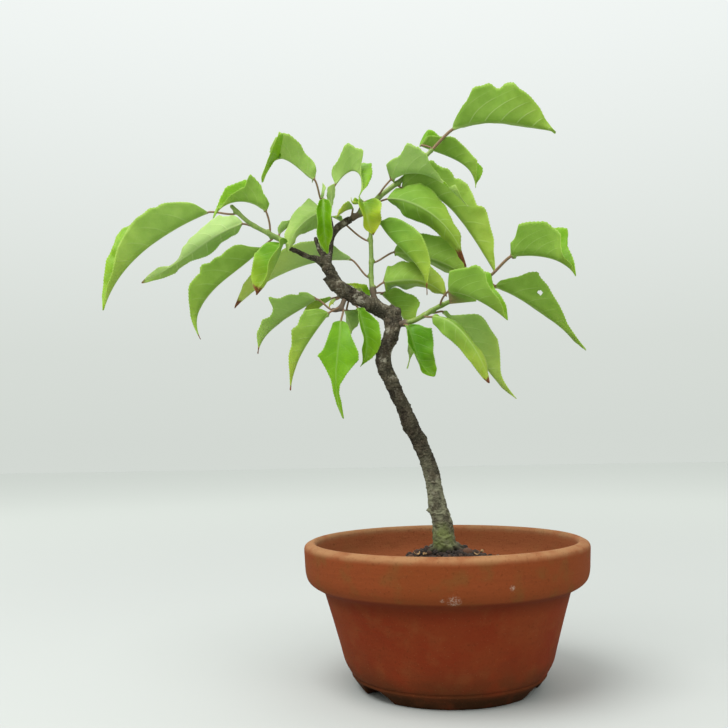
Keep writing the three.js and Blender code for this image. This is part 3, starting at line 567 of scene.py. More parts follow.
def raise_bark(points):
    """Bark relief in millimetres: coarse lumps, flat plates parted by sunken cracks that run mostly
    across the stem, fine grain, and a bell for each knot."""
    lumps = clouds(points, 5.5, 4.0, 2)
    plates = clouds(points * [1, 1, 2.1] + 1.2 * clouds(points, 4, 9.0, 2)[:, None], 2.3, 1.0, 2)
    cracks = np.clip(1 - np.abs(plates) / 0.16, 0, 1) ** 1.3
    grain = clouds(points * [1, 1, 1.6], 0.8, 7.0, 2)
    relief = 0.34 * lumps + 0.24 * plates - 0.34 * cracks + 0.14 * grain
    knot_rise = 0
    for across, up, behind, reach, height in KNOTS:
        away = np.linalg.norm(points - in_space([across, up, behind]), axis=1)
        knot_rise = knot_rise + height * np.exp(-(away / reach) ** 2.6)
    return relief + knot_rise * (1 + 0.25 * grain), cracks, knot_rise


relief, cracks, knots = raise_bark(bark_points)
young = np.clip((bark_points[:, 2] - YOUNG_FROM) / YOUNG_OVER, 0, 1)
bark_points += bark_out * (relief * (1 - 0.6 * young))[:, None]
wood_mesh.vertices.foreach_set("co", (bark_points / 1000 + AXIS).ravel())
add_marks(wood_mesh, dict(cracks=cracks, relief=relief, knots=knots))
wood_mesh.update()

bark = Finish("old_bark", "33291f", Roughness=0.95, Specular_IOR_Level=0.2)
height = bark.rise(bark.place)
streaks = bark.noise(1.6, 4, bark.drawn_out(1, 1, 0.35))
speckle = bark.noise(0.45, 3)
patchy = bark.noise(4.2, 4, Roughness=0.65)
bark.lay("4d4336", bark.noise(7, 4), 0.35, 0.65)
bark.lay("1a130e", patchy, 0.53, 0.42, 0.85)
bark.lay("6a6454", streaks, 0.4, 0.7, 0.45)
bark.lay("969181", patchy, 0.56, 0.66, 0.8)
bark.lay("19120d", bark.mark("relief"), -0.05, -0.45, 0.85)
bark.lay("15100b", bark.mark("cracks"), 0.15, 0.9, 0.9)
bark.lay("2c2118", bark.mark("knots"), 0.2, 0.9, 0.5)
bark.lay("8d8776", speckle, 0.57, 0.7, 0.6)
browner = bark.times(bark.ramp(height, 0.135, 0.12), bark.ramp(height, 0.082, 0.095, 0, 0.4))
bark.lay("21180f", browner)
low_down = bark.ramp(height, 0.1, 0.075, 0.1, 0.75)
bark.lay("83846a", bark.times(bark.ramp(bark.noise(5, 3), 0.4, 0.55, 0.3, 1), low_down))
algae = bark.times(bark.near(-1.5, -5, 60.5, 8.5), bark.ramp(bark.noise(3, 4), 0.3, 0.6, 0.35, 1))
bark.lay("727c48", bark.times(algae, 0.85))
bark.lay("1c140e", height, 0.0590, 0.0555, 0.85)
old_bark = bark.end(None, (speckle, 0.12), (streaks, 0.1))
stand("bark_and_wood", wood_mesh, old_bark, "bark", "trunk")

# This year's shoots: smooth green stems as thick as a skewer, a little swollen where each leaf stalk
# leaves them, with a small bud there, and brown where they join old wood.
SHOOTS = {
    "left_shoot": (
        [(-67.7, 191.3, -12.1), (-70.8, 192.9, -12.6), (-73.8, 194.6, -13), (-83.7, 200.6, -15),
         (-92, 208.8, -17)],
        [1.05, 1, 1, 0.95, 0.9], 0.5),
    "top_shoot": (
        [(-37.7, 200.2, 10.1), (-32.2, 203.4, 11.2), (-25.1, 209.5, 13), (-19.6, 213.6, 14.4),
         (-13.1, 218.4, 16), (-2.5, 228.5, 19), (-1.2, 229.8, 19.6)],
        [1.3, 1.2, 1.2, 1.15, 1.1, 0.95, 0.8], 0.7),
    "middle_shoot": (
        [(-27.8, 163.8, 1.6), (-28.6, 166.5, 2.2), (-29.3, 172.8, 4), (-29.1, 183.5, 6),
         (-29.2, 191.7, 8), (-29, 195.8, 9)],
        [1.4, 1.2, 1.05, 1, 0.95, 0.7], 1.5),
    "right_shoot": (
        [(-16.9, 152.7, -3), (-10.6, 154.2, -6), (-1.3, 159.2, -10), (4.9, 162, -13),
         (11.7, 165.5, -16), (23.2, 173.1, -20)],
        [1.35, 1.1, 1, 0.95, 0.9, 0.7], 0.6),
    "low_spur": (
        [(-41.4, 164.2, -5.6), (-42.8, 161.2, -7), (-45, 159.8, -8.4), (-47.3, 160, -9)],
        [1.1, 1, 0.9, 0.8], 9.0),
}
# Leaves: the stem and the place on it, four places along the midrib from the blade's foot to its tip,
# and the near edge where the blade is widest. Then what differs from an ordinary leaf. opening is the
# angle between the halves. roll turns the tip end to the eye, about the place and over the spread in
# turn. full keeps it broad beyond its widest. upper shows its upper face. brown and yellow are how much
# of the tip has turned. Two tones darken and lighten the green: the deep one is partly the leaf's own
# deeper green and partly painted shade on leaves that lie in shadow, the pale one is partly the leaf's
# own paler green and partly painted light on leaves in shade, and the pale one may be a pair, for the
# near half and the far one. veined raises its side veins. folded is the share of the length where the
# near half ends, and what share of its width goes on. hole is a bitten place: across, up and reach.
# stalk is a radius.
ORDINARY = dict(opening=60, roll=0, turn=(0.7, 0.6), full=0.5, widest=0.4, upper=False, brown=0.0,
                yellow=0.15, deep_and_painted_shade=0.0, pale_and_painted_light=0.0, veined=0.3, folded=None, hole=None, stalk=0.43)
LEAVES = {
    "left_1": ("left_shoot", 3.6,
               [(-102, 206, -14), (-122, 196.5, -14), (-139.5, 182.5, -18), (-150.5, 163, -24)],
               (-137.5, 203, -19), dict(opening=45, roll=24, turn=(0.6, 0.3), full=1, yellow=0.25, pale_and_painted_light=0.12)),
    "left_2": ("left_shoot", 2.75,
               [(-86.5, 200, -9), (-101, 193.5, -3), (-115.5, 184.1, 1), (-133, 175, 3)],
               (-109, 196.5, 8), dict(opening=85, full=0, brown=0.03, pale_and_painted_light=(1, 0.45), veined=0.8)),
    "left_3": ("left_shoot", 1.7,
               [(-78, 189, -12), (-92, 177.5, -9), (-105, 165, -8), (-106, 148.5, -12)],
               (-105.5, 182, -13), dict(full=0.6, brown=0.02)),
    "left_4": ("left_shoot", 0.2,
               [(-68.5, 190.5, -17), (-71, 184, -21), (-74.5, 176.5, -24), (-80.5, 167.5, -26)],
               (-81.5, 185.5, -24), dict(opening=70, upper=True, brown=0.09, yellow=0.4, deep_and_painted_shade=0.3)),
    "left_5": ("left_shoot", 2.1,
               [(-76, 205.5, -16), (-84, 210, -18), (-93, 209.5, -21), (-100, 203, -25)],
               (-83, 221, -19), dict(opening=45, roll=24, turn=(0.45, 0.3), full=0.4, deep_and_painted_shade=0.1)),
    "left_6": ("left_shoot", 0.9,
               [(-70, 194.5, -9), (-67.5, 197, -6), (-64, 199.5, -3), (-61.5, 203.5, 0)],
               (-70, 199.5, -7), dict(opening=70, full=0.3, pale_and_painted_light=0.5)),

    "crown_1": ("crown_spur", 1,
                [(-50, 204, -2), (-57, 201, -7), (-63, 195, -13), (-66, 186.5, -19)],
                (-60.5, 208, -1), dict(opening=90, pale_and_painted_light=0.4)),
    "crown_2": ("crown_spur", 2.7,
                [(-54, 219, -3), (-61.5, 225, -5), (-69.5, 229, -10), (-77.5, 218.5, -20)],
                (-66, 240, -8), dict(roll=96, turn=(0.67, 0.03), folded=(0.662, 0.12), pale_and_painted_light=0.15, full=0.5,
                                     widest=0.45)),
    "crown_3": ("crown_spur", 2.5,
                [(-50, 210, -8), (-50, 202, -11), (-49.5, 193.5, -11), (-48.5, 185, -10)],
                (-53, 201, -17), dict(opening=52, upper=True, deep_and_painted_shade=0.3)),
    "crown_4": ("crown_spur", 3,
                [(-51, 210.5, -3), (-50.5, 212.5, -5), (-50.2, 215, -5), (-50, 217.2, -5)],
                (-48.8, 214, -6.5), dict(opening=120, full=0.8, widest=0.55, pale_and_painted_light=0.7)),
    "crown_5": ("crown_spur", 1.6,
                [(-46.5, 206, -1), (-46.4, 209.5, -1.5), (-46, 213, -2), (-45, 216.5, -2.5)],
                (-48.4, 213, -2.5), dict(opening=130, full=1, widest=0.7, pale_and_painted_light=0.6)),
    "crown_6": ("crown_spur", 2.6,
                [(-44.5, 216, 6), (-37, 222, 4.8), (-32.9, 218.6, -1), (-34.2, 209.8, -6)],
                (-37, 234, 3), dict(folded=(0.5, 0.32), full=0.6, pale_and_painted_light=0.3)),

    "top_1": ("top_shoot", 0.15,
              [(-37, 205, 9), (-39.5, 204.5, 7), (-42, 203, 5), (-45, 200.5, 3)],
              (-41, 208, 4), dict(opening=70, yellow=0.9, pale_and_painted_light=0.6)),
    "top_2": ("top_shoot", 0.7,
              [(-33.5, 205.5, 9.5), (-34.5, 207, 8), (-36.5, 207, 6.5), (-37.5, 210, 6)],
              (-34.2, 209, 4.5), dict(opening=70, yellow=0.7, pale_and_painted_light=0.4)),
    "top_3": ("top_shoot", 1.3,
              [(-32, 207.5, 4), (-31, 203, 0), (-30, 198, 0), (-28, 192.5, 2)],
              (-24.5, 204.5, -4), dict(opening=70, full=0.2, upper=True, yellow=0.9, brown=0.04)),
    "top_4": ("top_shoot", 2,
              [(-19.5, 217.3, 10), (-7, 219.5, 8), (4, 213.8, 5), (14, 203.5, 3)],
              (-11, 234, 3), dict(full=0.3, widest=0.32, pale_and_painted_light=0.5, veined=0.6)),
    "top_5": ("top_shoot", 3.4,
              [(-15, 213.2, 15.5), (1.5, 207.6, 17), (13.3, 193.8, 14), (24.8, 174, 8)],
              (16, 209, 13), dict(full=0.6, yellow=0.3)),
    "top_6": ("top_shoot", 1.6,
              [(-21.5, 208.5, 7), (-10.5, 206, 3), (3.2, 195.8, 2), (12.4, 176.8, 4)],
              (-3.5, 212, 11), dict(opening=88, brown=0.12, yellow=0.3, deep_and_painted_shade=0.4)),
    "top_7": ("top_shoot", 0.75,
              [(-25, 198.5, 5), (-17, 187.5, 1), (-8.5, 177.5, -4), (-5, 165, -8)],
              (-7.5, 192, -3), dict(brown=0.12, yellow=0.4, deep_and_painted_shade=0.6)),
    "top_8": ("top_shoot", 6,
              [(8, 238.5, 20), (23, 241, 20), (38, 239, 18), (53, 235.3, 14)],
              (28, 258, 15), dict(full=0.9, widest=0.45, veined=0.9, stalk=0.72)),
    "top_9": ("top_shoot", 5.6,
              [(-6, 232, 24), (4, 227.5, 26), (13.5, 221.5, 24), (17.3, 211.7, 20)],
              (10, 234, 21), dict(opening=42, full=0.8)),

    "middle_1": ("middle_shoot", 2.1,
                 [(-38, 182, 8), (-56.5, 181, 9), (-74.6, 174.2, 5), (-90.6, 162.2, -3)],
                 (-59, 191, 6), dict(brown=0.06, yellow=0.6, pale_and_painted_light=1)),
    "middle_2": ("middle_shoot", 2.7,
                 [(-19, 184.6, 11), (-7.5, 182.6, 12), (3.5, 178.4, 11), (13.2, 172, 10)],
                 (-2, 191, 15), dict(opening=75)),
    "middle_3": ("middle_shoot", 1.4,
                 [(-23.7, 171.4, 3), (-15, 172, 2), (-6, 170.8, 1), (3.5, 164, -1)],
                 (-12, 179, 8), dict(opening=55, full=0.8, brown=0.05, yellow=0.4)),
    "middle_4": ("middle_shoot", 1.1,
                 [(-24.5, 166.5, 7), (-20.6, 162, 9), (-17, 157.6, 9), (-13.8, 151.7, 7)],
                 (-11, 164, 8), dict(opening=80, full=0.9, deep_and_painted_shade=0.35)),
    "middle_5": ("middle_shoot", 3.75,
                 [(-41.5, 199, 14), (-43, 200, 14), (-45, 201, 13), (-46.5, 201.5, 12)],
                 (-43.5, 203, 11), dict(opening=80, pale_and_painted_light=0.6)),

    "right_1": ("right_shoot", 0.3,
                [(-14, 152, -8), (-11.5, 144, -11), (-8.5, 135.5, -12), (-2.5, 129.5, -12)],
                (-3, 146, -14), dict(opening=70, full=0.7, upper=True, deep_and_painted_shade=1.0)),
    "right_2": ("right_shoot", 0.35,
                [(-14, 151.5, 0), (-13, 145, 1), (-13.1, 139, 1), (-14.5, 133, 0)],
                (-11.2, 142, 3), dict(opening=50, pale_and_painted_light=0.3)),
    "right_3": ("right_shoot", 1.45,
                [(-3, 155.4, -15), (8.2, 149.9, -22), (16.6, 137.6, -24), (20.7, 125.9, -24)],
                (3, 146.5, -19), dict(opening=78, brown=0.07, yellow=0.45, deep_and_painted_shade=0.2)),
    "right_4": ("right_shoot", 1.75,
                [(1.6, 157.6, -10), (12.2, 143.4, -8), (21.4, 130.2, -8), (32, 118.9, -10)],
                (23.5, 146.5, -10), dict(pale_and_painted_light=0.3, yellow=0.4)),
    "right_5": ("right_shoot", 2.35,
                [(4.5, 166.5, -22), (13.5, 164, -28), (22, 159, -30), (29.5, 153, -31)],
                (20, 176, -33), dict(opening=40, roll=16, turn=(0.6, 0.2), full=0.8, deep_and_painted_shade=0.1)),
    "right_6": ("right_shoot", 5,
                [(32, 181, -23), (42, 181, -27), (52, 178, -30), (59, 171, -32)],
                (45, 195.5, -31), dict(opening=45, roll=22, turn=(0.65, 0.2), full=0.9, widest=0.45,
                                       deep_and_painted_shade=0.2, stalk=0.6)),
    "right_7": ("right_shoot", 4.8,
                [(24.5, 168, -16), (38.5, 160, -13), (51, 150, -12), (62, 138.8, -12)],
                (47.5, 169, -18), dict(opening=80, full=0.4, hole=(43.7, 164.6, 1.1))),

    "low_1": ("low_spur", 3,
              [(-54, 165, -8), (-64.5, 158.8, -6), (-74.5, 151.6, -7), (-80.4, 141.5, -10)],
              (-72.5, 167, -10), dict(roll=10, full=0.7, brown=0.07, pale_and_painted_light=0.35)),
    "low_2": ("low_spur", 1.6,
              [(-48.5, 158.5, -13), (-57.2, 147, -17), (-63.2, 136, -19), (-65.7, 124.8, -20)],
              (-65.5, 151, -20), dict(opening=50, full=0.4, yellow=0.5, brown=0.05)),
    "low_3": ("low_spur", 1,
              [(-43, 155, -10), (-44.8, 140.5, -15), (-45.7, 126, -17), (-42.6, 112, -16)],
              (-53, 140.5, -18), dict(opening=150, full=0, upper=True, deep_and_painted_shade=0.3, veined=0.1)),

    "branch_1": ("left_branch", 4.25,
                 [(-47.2, 164.9, -2.4), (-51.7, 162, 0), (-56, 157.4, 1), (-60.6, 150, 1)],
                 (-56, 164, -2), dict(yellow=0.7)),
    "branch_2": ("left_branch", 2.9,
                 [(-35.5, 160.5, -4), (-33, 151.5, -6), (-32, 142.5, -7), (-35, 134.5, -7)],
                 (-26, 148.5, -10), dict(full=0.6, upper=True, deep_and_painted_shade=0.3)),
    "branch_3": ("left_branch", 3.35,
                 [(-40.5, 159.5, 0), (-40, 156.5, 1), (-39, 152.5, 1), (-38.5, 149, 0)],
                 (-35.5, 156.5, 3), dict(opening=70, pale_and_painted_light=0.5)),
    "branch_4": ("left_branch", 1.5,
                 [(-30.5, 164, 7), (-33.5, 167, 8), (-36.5, 169.5, 8), (-40.5, 171.5, 8)],
                 (-36, 171.5, 4), dict(yellow=0.6, pale_and_painted_light=0.5)),
    "branch_5": ("left_branch", 4.1,
                 [(-45, 164.5, -5), (-47, 164, -4), (-48, 162.5, -4), (-48, 160.5, -4)],
                 (-46, 162, -5), dict(opening=80, yellow=0.9, pale_and_painted_light=0.4)),
}
# the edge of the near half, and of the far half where it shows, from foot to tip: across and up
EDGES = {
    "left_1": [(-102.4, 206.1), (-104.3, 207.6), (-107.7, 210), (-110.9, 210.9), (-115.1, 211.2), (-122, 211),
               (-124.3, 210.3), (-125.6, 209.1), (-129.3, 208.7), (-132.5, 206), (-135.1, 204.6),
               (-138.3, 201.5), (-141.7, 196), (-144.2, 191.8), (-147.2, 183.2), (-149.3, 176),
               (-150.3, 162.9)],
    "left_2": [(-86.3, 200.7), (-88.1, 202.2), (-89.9, 202.9), (-94.4, 203), (-96.7, 204), (-100.3, 201.6),
               (-106.3, 195.7), (-112.7, 189.8), (-114.5, 187.1), (-120, 182.3), (-123.7, 180.7),
               (-129.2, 177.6), (-133, 174.9)],
    "left_3": [(-80.9, 187.8), (-82.3, 189.7), (-87.3, 191), (-90, 190.9), (-93.7, 188.8), (-96.4, 186.2),
               (-99.1, 185.4), (-101.4, 183), (-105, 182.4), (-106.4, 180.2), (-105.6, 179), (-107.7, 177.4),
               (-110.9, 173.9), (-111.6, 171.6), (-111.6, 165.9), (-110.6, 159.5), (-108.8, 153.6),
               (-106.2, 148.3)],
    "left_4": [(-70, 193), (-75.3, 191.8), (-77.4, 190.2), (-80.9, 187.2), (-81.9, 182.3), (-82.9, 177.1),
               (-82.6, 174.3), (-82, 171.9), (-80.2, 167.3)],
    "left_5": [(-76.1, 205.3), (-73.7, 207.3), (-75.2, 210.7), (-77.1, 213.1), (-78, 216.9), (-81, 220.6),
               (-83.7, 222.8), (-84.7, 218.4), (-85.4, 216.7), (-87.9, 216.2), (-92, 214.2), (-94.1, 210.9),
               (-95.4, 209), (-98.5, 205), (-100.1, 202.3)],
    "crown_1": [(-50.5, 206), (-52.6, 209.3), (-54.4, 210.2), (-56.8, 209.5), (-59.1, 207.9), (-62.5, 203.3),
                (-64.5, 201), (-66.2, 196.8), (-67.5, 193.2), (-66.8, 186.3)],
    "crown_2": [(-53.4, 218.5), (-52.6, 221.6), (-53.9, 226.1), (-55, 228), (-58, 231.5), (-60, 234.9),
                (-63.6, 238.1), (-65.5, 239.9), (-68.9, 240.6), (-70.4, 241.7)],
    "crown_3": [(-51.3, 209.5), (-51.7, 205.5), (-52, 201), (-51.8, 196.4), (-51.2, 192.5), (-50.3, 188.7),
                (-48.9, 185)],
    "crown_6": [(-44.7, 216.7), (-46.2, 220.5), (-46, 222.7), (-45.4, 224.2), (-44, 225.4), (-42.5, 227.3),
                (-40.8, 230.9), (-39.7, 233.5), (-38.4, 234.6), (-37.3, 234.3), (-35.2, 232.1),
                (-32.6, 231.6), (-31.9, 229), (-32.2, 227.4)],
    "top_3": [(-32.4, 208), (-31.5, 209.1), (-30.1, 209.8), (-27.6, 209.7), (-26.1, 208.9), (-25.2, 208.1),
              (-24.6, 204), (-24.8, 200), (-25.4, 198.1), (-26.1, 195.6), (-27.1, 193.8), (-28.2, 192)],
    "top_4": [(-19.8, 217.3), (-20.8, 220.1), (-22.1, 223.8), (-20.3, 225.7), (-18.1, 226.9), (-16.3, 227.2),
              (-15.1, 228.2), (-13.2, 231.4), (-12.6, 233.2), (-11, 233.2), (-7.7, 231.3), (-6.9, 231.6),
              (-4.5, 229.1), (-3.1, 228.7), (-2, 226.1), (-0.2, 222), (1.5, 218.8), (2.3, 216.3),
              (6.5, 211.4), (11.1, 206.2), (14, 203.3)],
    "top_5": [(-16.9, 213.6), (-16.6, 215), (-14.5, 219), (-8, 224), (-1, 225), (0.7, 222.9), (3.3, 221.4),
              (5.7, 220.8), (7.6, 218.5), (8.4, 216.2), (10.6, 216.1), (12.3, 214.7), (14, 213.4),
              (15.2, 210.9), (16.5, 208.6), (18.1, 204), (18.7, 203.1), (20.3, 203), (21.6, 202.1),
              (22.4, 199.8), (23.5, 193.6), (24.8, 188.1), (24.9, 181.1), (25, 174)],
    "top_6": [(-21.8, 209.1), (-20.2, 210.6), (-18, 211.8), (-15.7, 212.8), (-12.2, 213.2), (-6.5, 213.2),
              (-3.9, 212.1), (-0.5, 209.2), (3.4, 204.8), (4.2, 202), (6.7, 195.7), (9.2, 191.5),
              (9.8, 189.7), (10, 187.5), (10.4, 185), (11.2, 181.6), (12.6, 176.3)],
    "top_7": [(-25.1, 198.7), (-22.6, 199.2), (-20, 199.9), (-17.4, 199.5), (-14.8, 198.3), (-10.1, 195.2),
              (-6.2, 191.4), (-4.8, 188.2), (-3.6, 183.7), (-3, 180.1), (-2.8, 176.5), (-3.4, 173.4),
              (-4.2, 169.6), (-5, 164.7)],
    "top_8": [(8, 238.9), (8.2, 241), (9.8, 244.5), (12.7, 249), (14.2, 250.4), (16.3, 254.2), (16.9, 256),
              (18.4, 257), (21.7, 257.4), (24.2, 258.5), (25.5, 258.2), (27.5, 256.2), (28.4, 255.8),
              (29.9, 256), (30.6, 257), (31.7, 257.9), (33.6, 258.2), (35.8, 257.9), (38.2, 255),
              (40.6, 253.4), (42.7, 251.4), (46.6, 245.8), (48.7, 240.9), (51.6, 236.9), (53.2, 235)],
    "top_9": [(-6, 233), (-5.8, 236.6), (-3.2, 236.7), (-0.6, 236.2), (4.9, 235.5), (7.1, 235.8),
              (9.3, 234.9), (12.9, 230.8), (17.2, 226), (19.6, 223.9), (19.6, 221.5), (18.8, 217),
              (18, 214.7), (17.3, 211.5)],
    "middle_1": [(-38, 183), (-45, 188.5), (-52, 191), (-60.5, 190.6), (-68, 188), (-78, 181.5), (-84, 176),
                 (-87.1, 172.4), (-89.2, 167.5), (-90.1, 164.8), (-91, 162.3)],
    "middle_2": [(-19.2, 185), (-18.5, 186.5), (-17, 188.2), (-12, 191.5), (-6.2, 191.6), (-2.7, 191.1),
                 (1.6, 190.3), (5.1, 189), (7.6, 186.4), (8.8, 183.7), (9.7, 181), (11.8, 177.8), (13.5, 172)],
    "middle_3": [(-23.8, 171.8), (-23.5, 174.8), (-22.9, 176.3), (-21.6, 177.8), (-17.7, 179.1),
                 (-14.7, 179.1), (-13.2, 178.5), (-11.3, 179), (-6, 178.6), (-3.3, 177.1), (-2.1, 174.9),
                 (0.8, 171.3), (2.1, 169.6), (3.7, 164.2)],
    "middle_4": [(-24.4, 166.7), (-22.2, 168.1), (-19.2, 169.6), (-17.1, 168.3), (-15, 166.7), (-12.9, 165.8),
                 (-11.2, 165.3), (-9.5, 163.9), (-8.1, 161.4), (-8.5, 160), (-9.2, 158.3), (-9.5, 155.1),
                 (-10.2, 153.6), (-13.6, 151.2)],
    "right_1": [(-13, 152.8), (-9.8, 152.9), (-6.4, 151), (-4.7, 150.6), (-3.8, 151), (-3.7, 148.8),
                (-3.4, 143.3), (-3.3, 139.9), (-2.7, 135.2), (-1.7, 133), (-1.3, 131.2), (-1.8, 129.2)],
    "right_2": [(-13.6, 151.5), (-12, 146.5), (-11.5, 143.5), (-11.1, 141), (-12.2, 139.5), (-13.1, 137.4),
                (-14.4, 133)],
    "right_3": [(-4.6, 155.2), (-2.6, 152.6), (-0.5, 150.4), (4.1, 146), (9.1, 140.8), (13.6, 135.5),
                (17.3, 129.4), (18.3, 127.9), (20.5, 125.7)],
    "right_4": [(1.5, 158.8), (2.3, 159.8), (3.3, 158.2), (5.1, 155.9), (8.9, 156), (15.3, 156.2),
                (17, 155.8), (18.7, 154.6), (19.9, 153.1), (22.4, 148.7), (24.9, 144.8), (25.6, 139.6),
                (25.7, 131.5), (26, 129.4), (27, 126.7), (28.7, 123.7), (32.3, 118.6)],
    "right_5": [(4.7, 167), (4.8, 170.8), (3.5, 173.3), (4.9, 175), (12.8, 176.3), (14.6, 176.5),
                (16.2, 177.5), (17.5, 177.4), (18.9, 176.5), (19.9, 175.2), (21.1, 174), (21.8, 170),
                (23.3, 167.4), (26.5, 162.7), (27.6, 160.1), (28.3, 157.2), (29.5, 152.8)],
    "right_6": [(31.3, 180.9), (30.7, 182.4), (30.9, 184.5), (31.5, 186.1), (33.9, 188.5), (35.4, 191.4),
                (35.5, 193.5), (35.9, 194.5), (37.4, 195.1), (40.6, 195.6), (46.8, 195.5), (48, 195),
                (50, 192.9), (51.6, 191.7), (53.2, 190.3), (54.2, 188.6), (53.5, 186.6), (53.9, 184.4),
                (55.8, 180.2), (57, 178), (59, 170.8)],
    "right_7": [(24.6, 168.8), (25, 169.8), (27.5, 171), (30, 171.9), (34.5, 172.1), (38.6, 173.7),
                (40.7, 173.9), (43.1, 173.7), (43.5, 172.1), (44.2, 171), (47, 168), (49.3, 163.4),
                (51.6, 159.2), (53.3, 155), (54.6, 150.9), (57.3, 146.7), (60.4, 141.8), (62.4, 138.6)],
    "low_1": [(-54.1, 165.5), (-54.8, 166.4), (-56.4, 167.9), (-58, 168.6), (-59.7, 168.8), (-61.1, 168.8),
              (-61.3, 167.5), (-65, 167.8), (-67.1, 167.2), (-69.9, 165.8), (-72, 165.9), (-74.7, 166.9),
              (-75.8, 166.1), (-75.3, 165.1), (-72.6, 162.5), (-73.7, 160.9), (-73.5, 160.1), (-75.1, 157.9),
              (-78.6, 156.6), (-79.3, 154), (-80.7, 150.9), (-80.6, 148.9), (-80.2, 145.2), (-80.5, 141.3)],
    "low_2": [(-50, 160.2), (-54, 160.5), (-59.4, 160), (-60, 158.4), (-61.2, 157.2), (-61.9, 155.2),
              (-62.7, 153.2), (-65.2, 151.6), (-65.4, 150.6), (-65.2, 148.4), (-65.2, 144.3), (-66.1, 142.3),
              (-66.7, 139.8), (-66.7, 136.1), (-66.2, 131.2), (-65.9, 124.5)],
    "low_3": [(-44.5, 155.1), (-46.6, 154.5), (-47.2, 152.3), (-48.9, 147.8), (-50.4, 143.8), (-51.4, 142),
              (-53.7, 140), (-52.3, 138.5), (-49.9, 134.3), (-47.7, 129), (-47, 123.6), (-44.8, 117),
              (-42.8, 111.6)],
    "branch_1": [(-46.5, 165.4), (-49.6, 166), (-51.6, 165.7), (-54.1, 165), (-56.8, 163.6), (-58.6, 161.6),
                 (-59.7, 159.6), (-60.3, 157.6), (-61, 150)],
    "branch_2": [(-33, 160.8), (-32.4, 159.1), (-30.8, 157.8), (-28.6, 155.3), (-27.3, 154), (-26.6, 150.3),
                 (-26, 147.9), (-26.3, 144.6), (-28.1, 141.4), (-30.6, 138.2), (-34.8, 134.2)],
    "branch_3": [(-40, 161.5), (-36, 160.5), (-35, 156), (-35.8, 152.3), (-37.9, 150.9), (-38.8, 148.8)],
}
FAR_EDGES = {
    "left_1": [(-138, 202.5), (-142.4, 200.6), (-144.9, 197), (-145.8, 193.4), (-149.8, 187.1),
               (-150.8, 178.9), (-151.5, 169.8), (-150.8, 162.8)],
    "left_2": [(-86.7, 199.2), (-89.9, 195.9), (-94.8, 192.9), (-98.9, 189.7), (-103.5, 187.3),
               (-108.1, 185.5), (-112.7, 182.7), (-117.3, 179.3), (-122.7, 177.9), (-129.2, 176.2),
               (-133, 174.9)],
    "left_5": [(-84.1, 221.2), (-89, 219.9), (-93.2, 218.3), (-94.5, 217), (-95.3, 214.8), (-96.6, 212.9),
               (-97.4, 210.2), (-99.5, 205.7), (-100.3, 202.5)],
    "crown_2": [(-67.5, 240.8), (-70.4, 240.5), (-72.3, 236.1), (-74, 230.4), (-75.6, 224.9),
                (-77.9, 219.6), (-77.8, 217.5)],
    "crown_3": [(-48.4, 209.5), (-47.7, 205.6), (-47.3, 201), (-47.4, 196.5), (-47.7, 192.7), (-48.3, 184.8)],
    "crown_6": [(-32.6, 231), (-31.9, 227.2), (-29.9, 225.1), (-28.1, 222.8), (-28, 221.1),
                (-28.9, 218.6), (-31, 213.9), (-34.4, 209.5)],
    "top_6": [(-21.6, 208.2), (-18.2, 205.4), (-15.1, 203.4), (-9.5, 199.8), (-4.3, 196.5), (0.9, 192.9),
              (5.2, 188.9), (8.6, 184), (9.4, 181.3), (12.3, 176.4)],
    "top_9": [(-6.5, 233.5), (-6, 236.5), (-3.6, 238), (-3, 239.2), (-1.6, 239.2), (0, 238.3), (2.2, 236)],
    "right_5": [(6, 168), (10, 173.5), (16, 175.8), (19.5, 175), (21.1, 174.4), (22.7, 174.1),
                (23.6, 170), (24.6, 167.5), (26.9, 163.6), (28.8, 160.2), (29.2, 158.1), (29.5, 152.8)],
    "right_6": [(50, 192.9), (51.6, 192.9), (56.2, 192.6), (56.6, 191.6), (56, 186), (56.6, 183.4),
                (57.9, 180), (58.6, 177), (59.2, 170.8)],
    "low_3": [(-41, 154.8), (-39.7, 152.4), (-38.7, 147.9), (-36.7, 143.3), (-35.7, 140.8), (-35.8, 137.6),
              (-37.6, 136), (-41.3, 131.2), (-44, 126.8), (-44.5, 123), (-43.5, 117.4), (-42.4, 111.6)],
}

STEMS = {name: in_space(stem[0]) for name, stem in {**WOOD, **SHOOTS}.items()}
STEM_RADII = {name: stem[1] for name, stem in {**WOOD, **SHOOTS}.items()}


def node_swelling(stem):
    """Adds a low ring round the shoot at each leaf, and a bud on the leaf's side of it."""
    def swell(at, centre, across, beside, turn):
        """A bell along the shoot, and another times the cube of the cosine from the leaf's side."""
        total = 0
        for _, place, midrib, _, _ in (leaf for leaf in LEAVES.values() if leaf[0] == stem):
            root = follow(STEMS[stem], np.array([float(place)]))[0]
            away = np.linalg.norm(centre - root, axis=1)[:, None]
            above = away * np.sign(at - place)[:, None] - 0.9
            out = in_space(midrib[0]) - root
            aim = np.arctan2(beside @ out, across @ out)[:, None]
            facing = np.clip(np.cos(turn[None] - aim), 0, 1) ** 3
            total = total + 0.17 * np.exp(-(away / 1.1) ** 2) + 0.75 * facing * np.exp(-(above / 0.75) ** 2)
        return total
    return swell


green = Finish("green_shoot", "6f8c36", Roughness=0.5)
brown_end = green.mark("woody")
streak = green.noise(0.5, 3, green.drawn_out(1, 1, 0.25))
pores = green.cells(900)
green.lay("859e48", green.noise(5, 3), 0.35, 0.65)
green.lay("4c6a28", streak, 0.45, 0.7, 0.5)
# painted light: the upward-facing side of each shoot is paler
green.lay("94944a", green.rise(green.put("NewGeometry").outputs["Normal"]), 0.1, 0.9, 0.3)
green.lay("a9b27a", pores, 0.17, 0.08, 0.6)
green.lay("5d5040", brown_end, 0.2, 0.8)
green_shoot = green.end(green.ramp(brown_end, 0, 1, 0.48, 0.9), (streak, 0.05), (pores, 0.04))

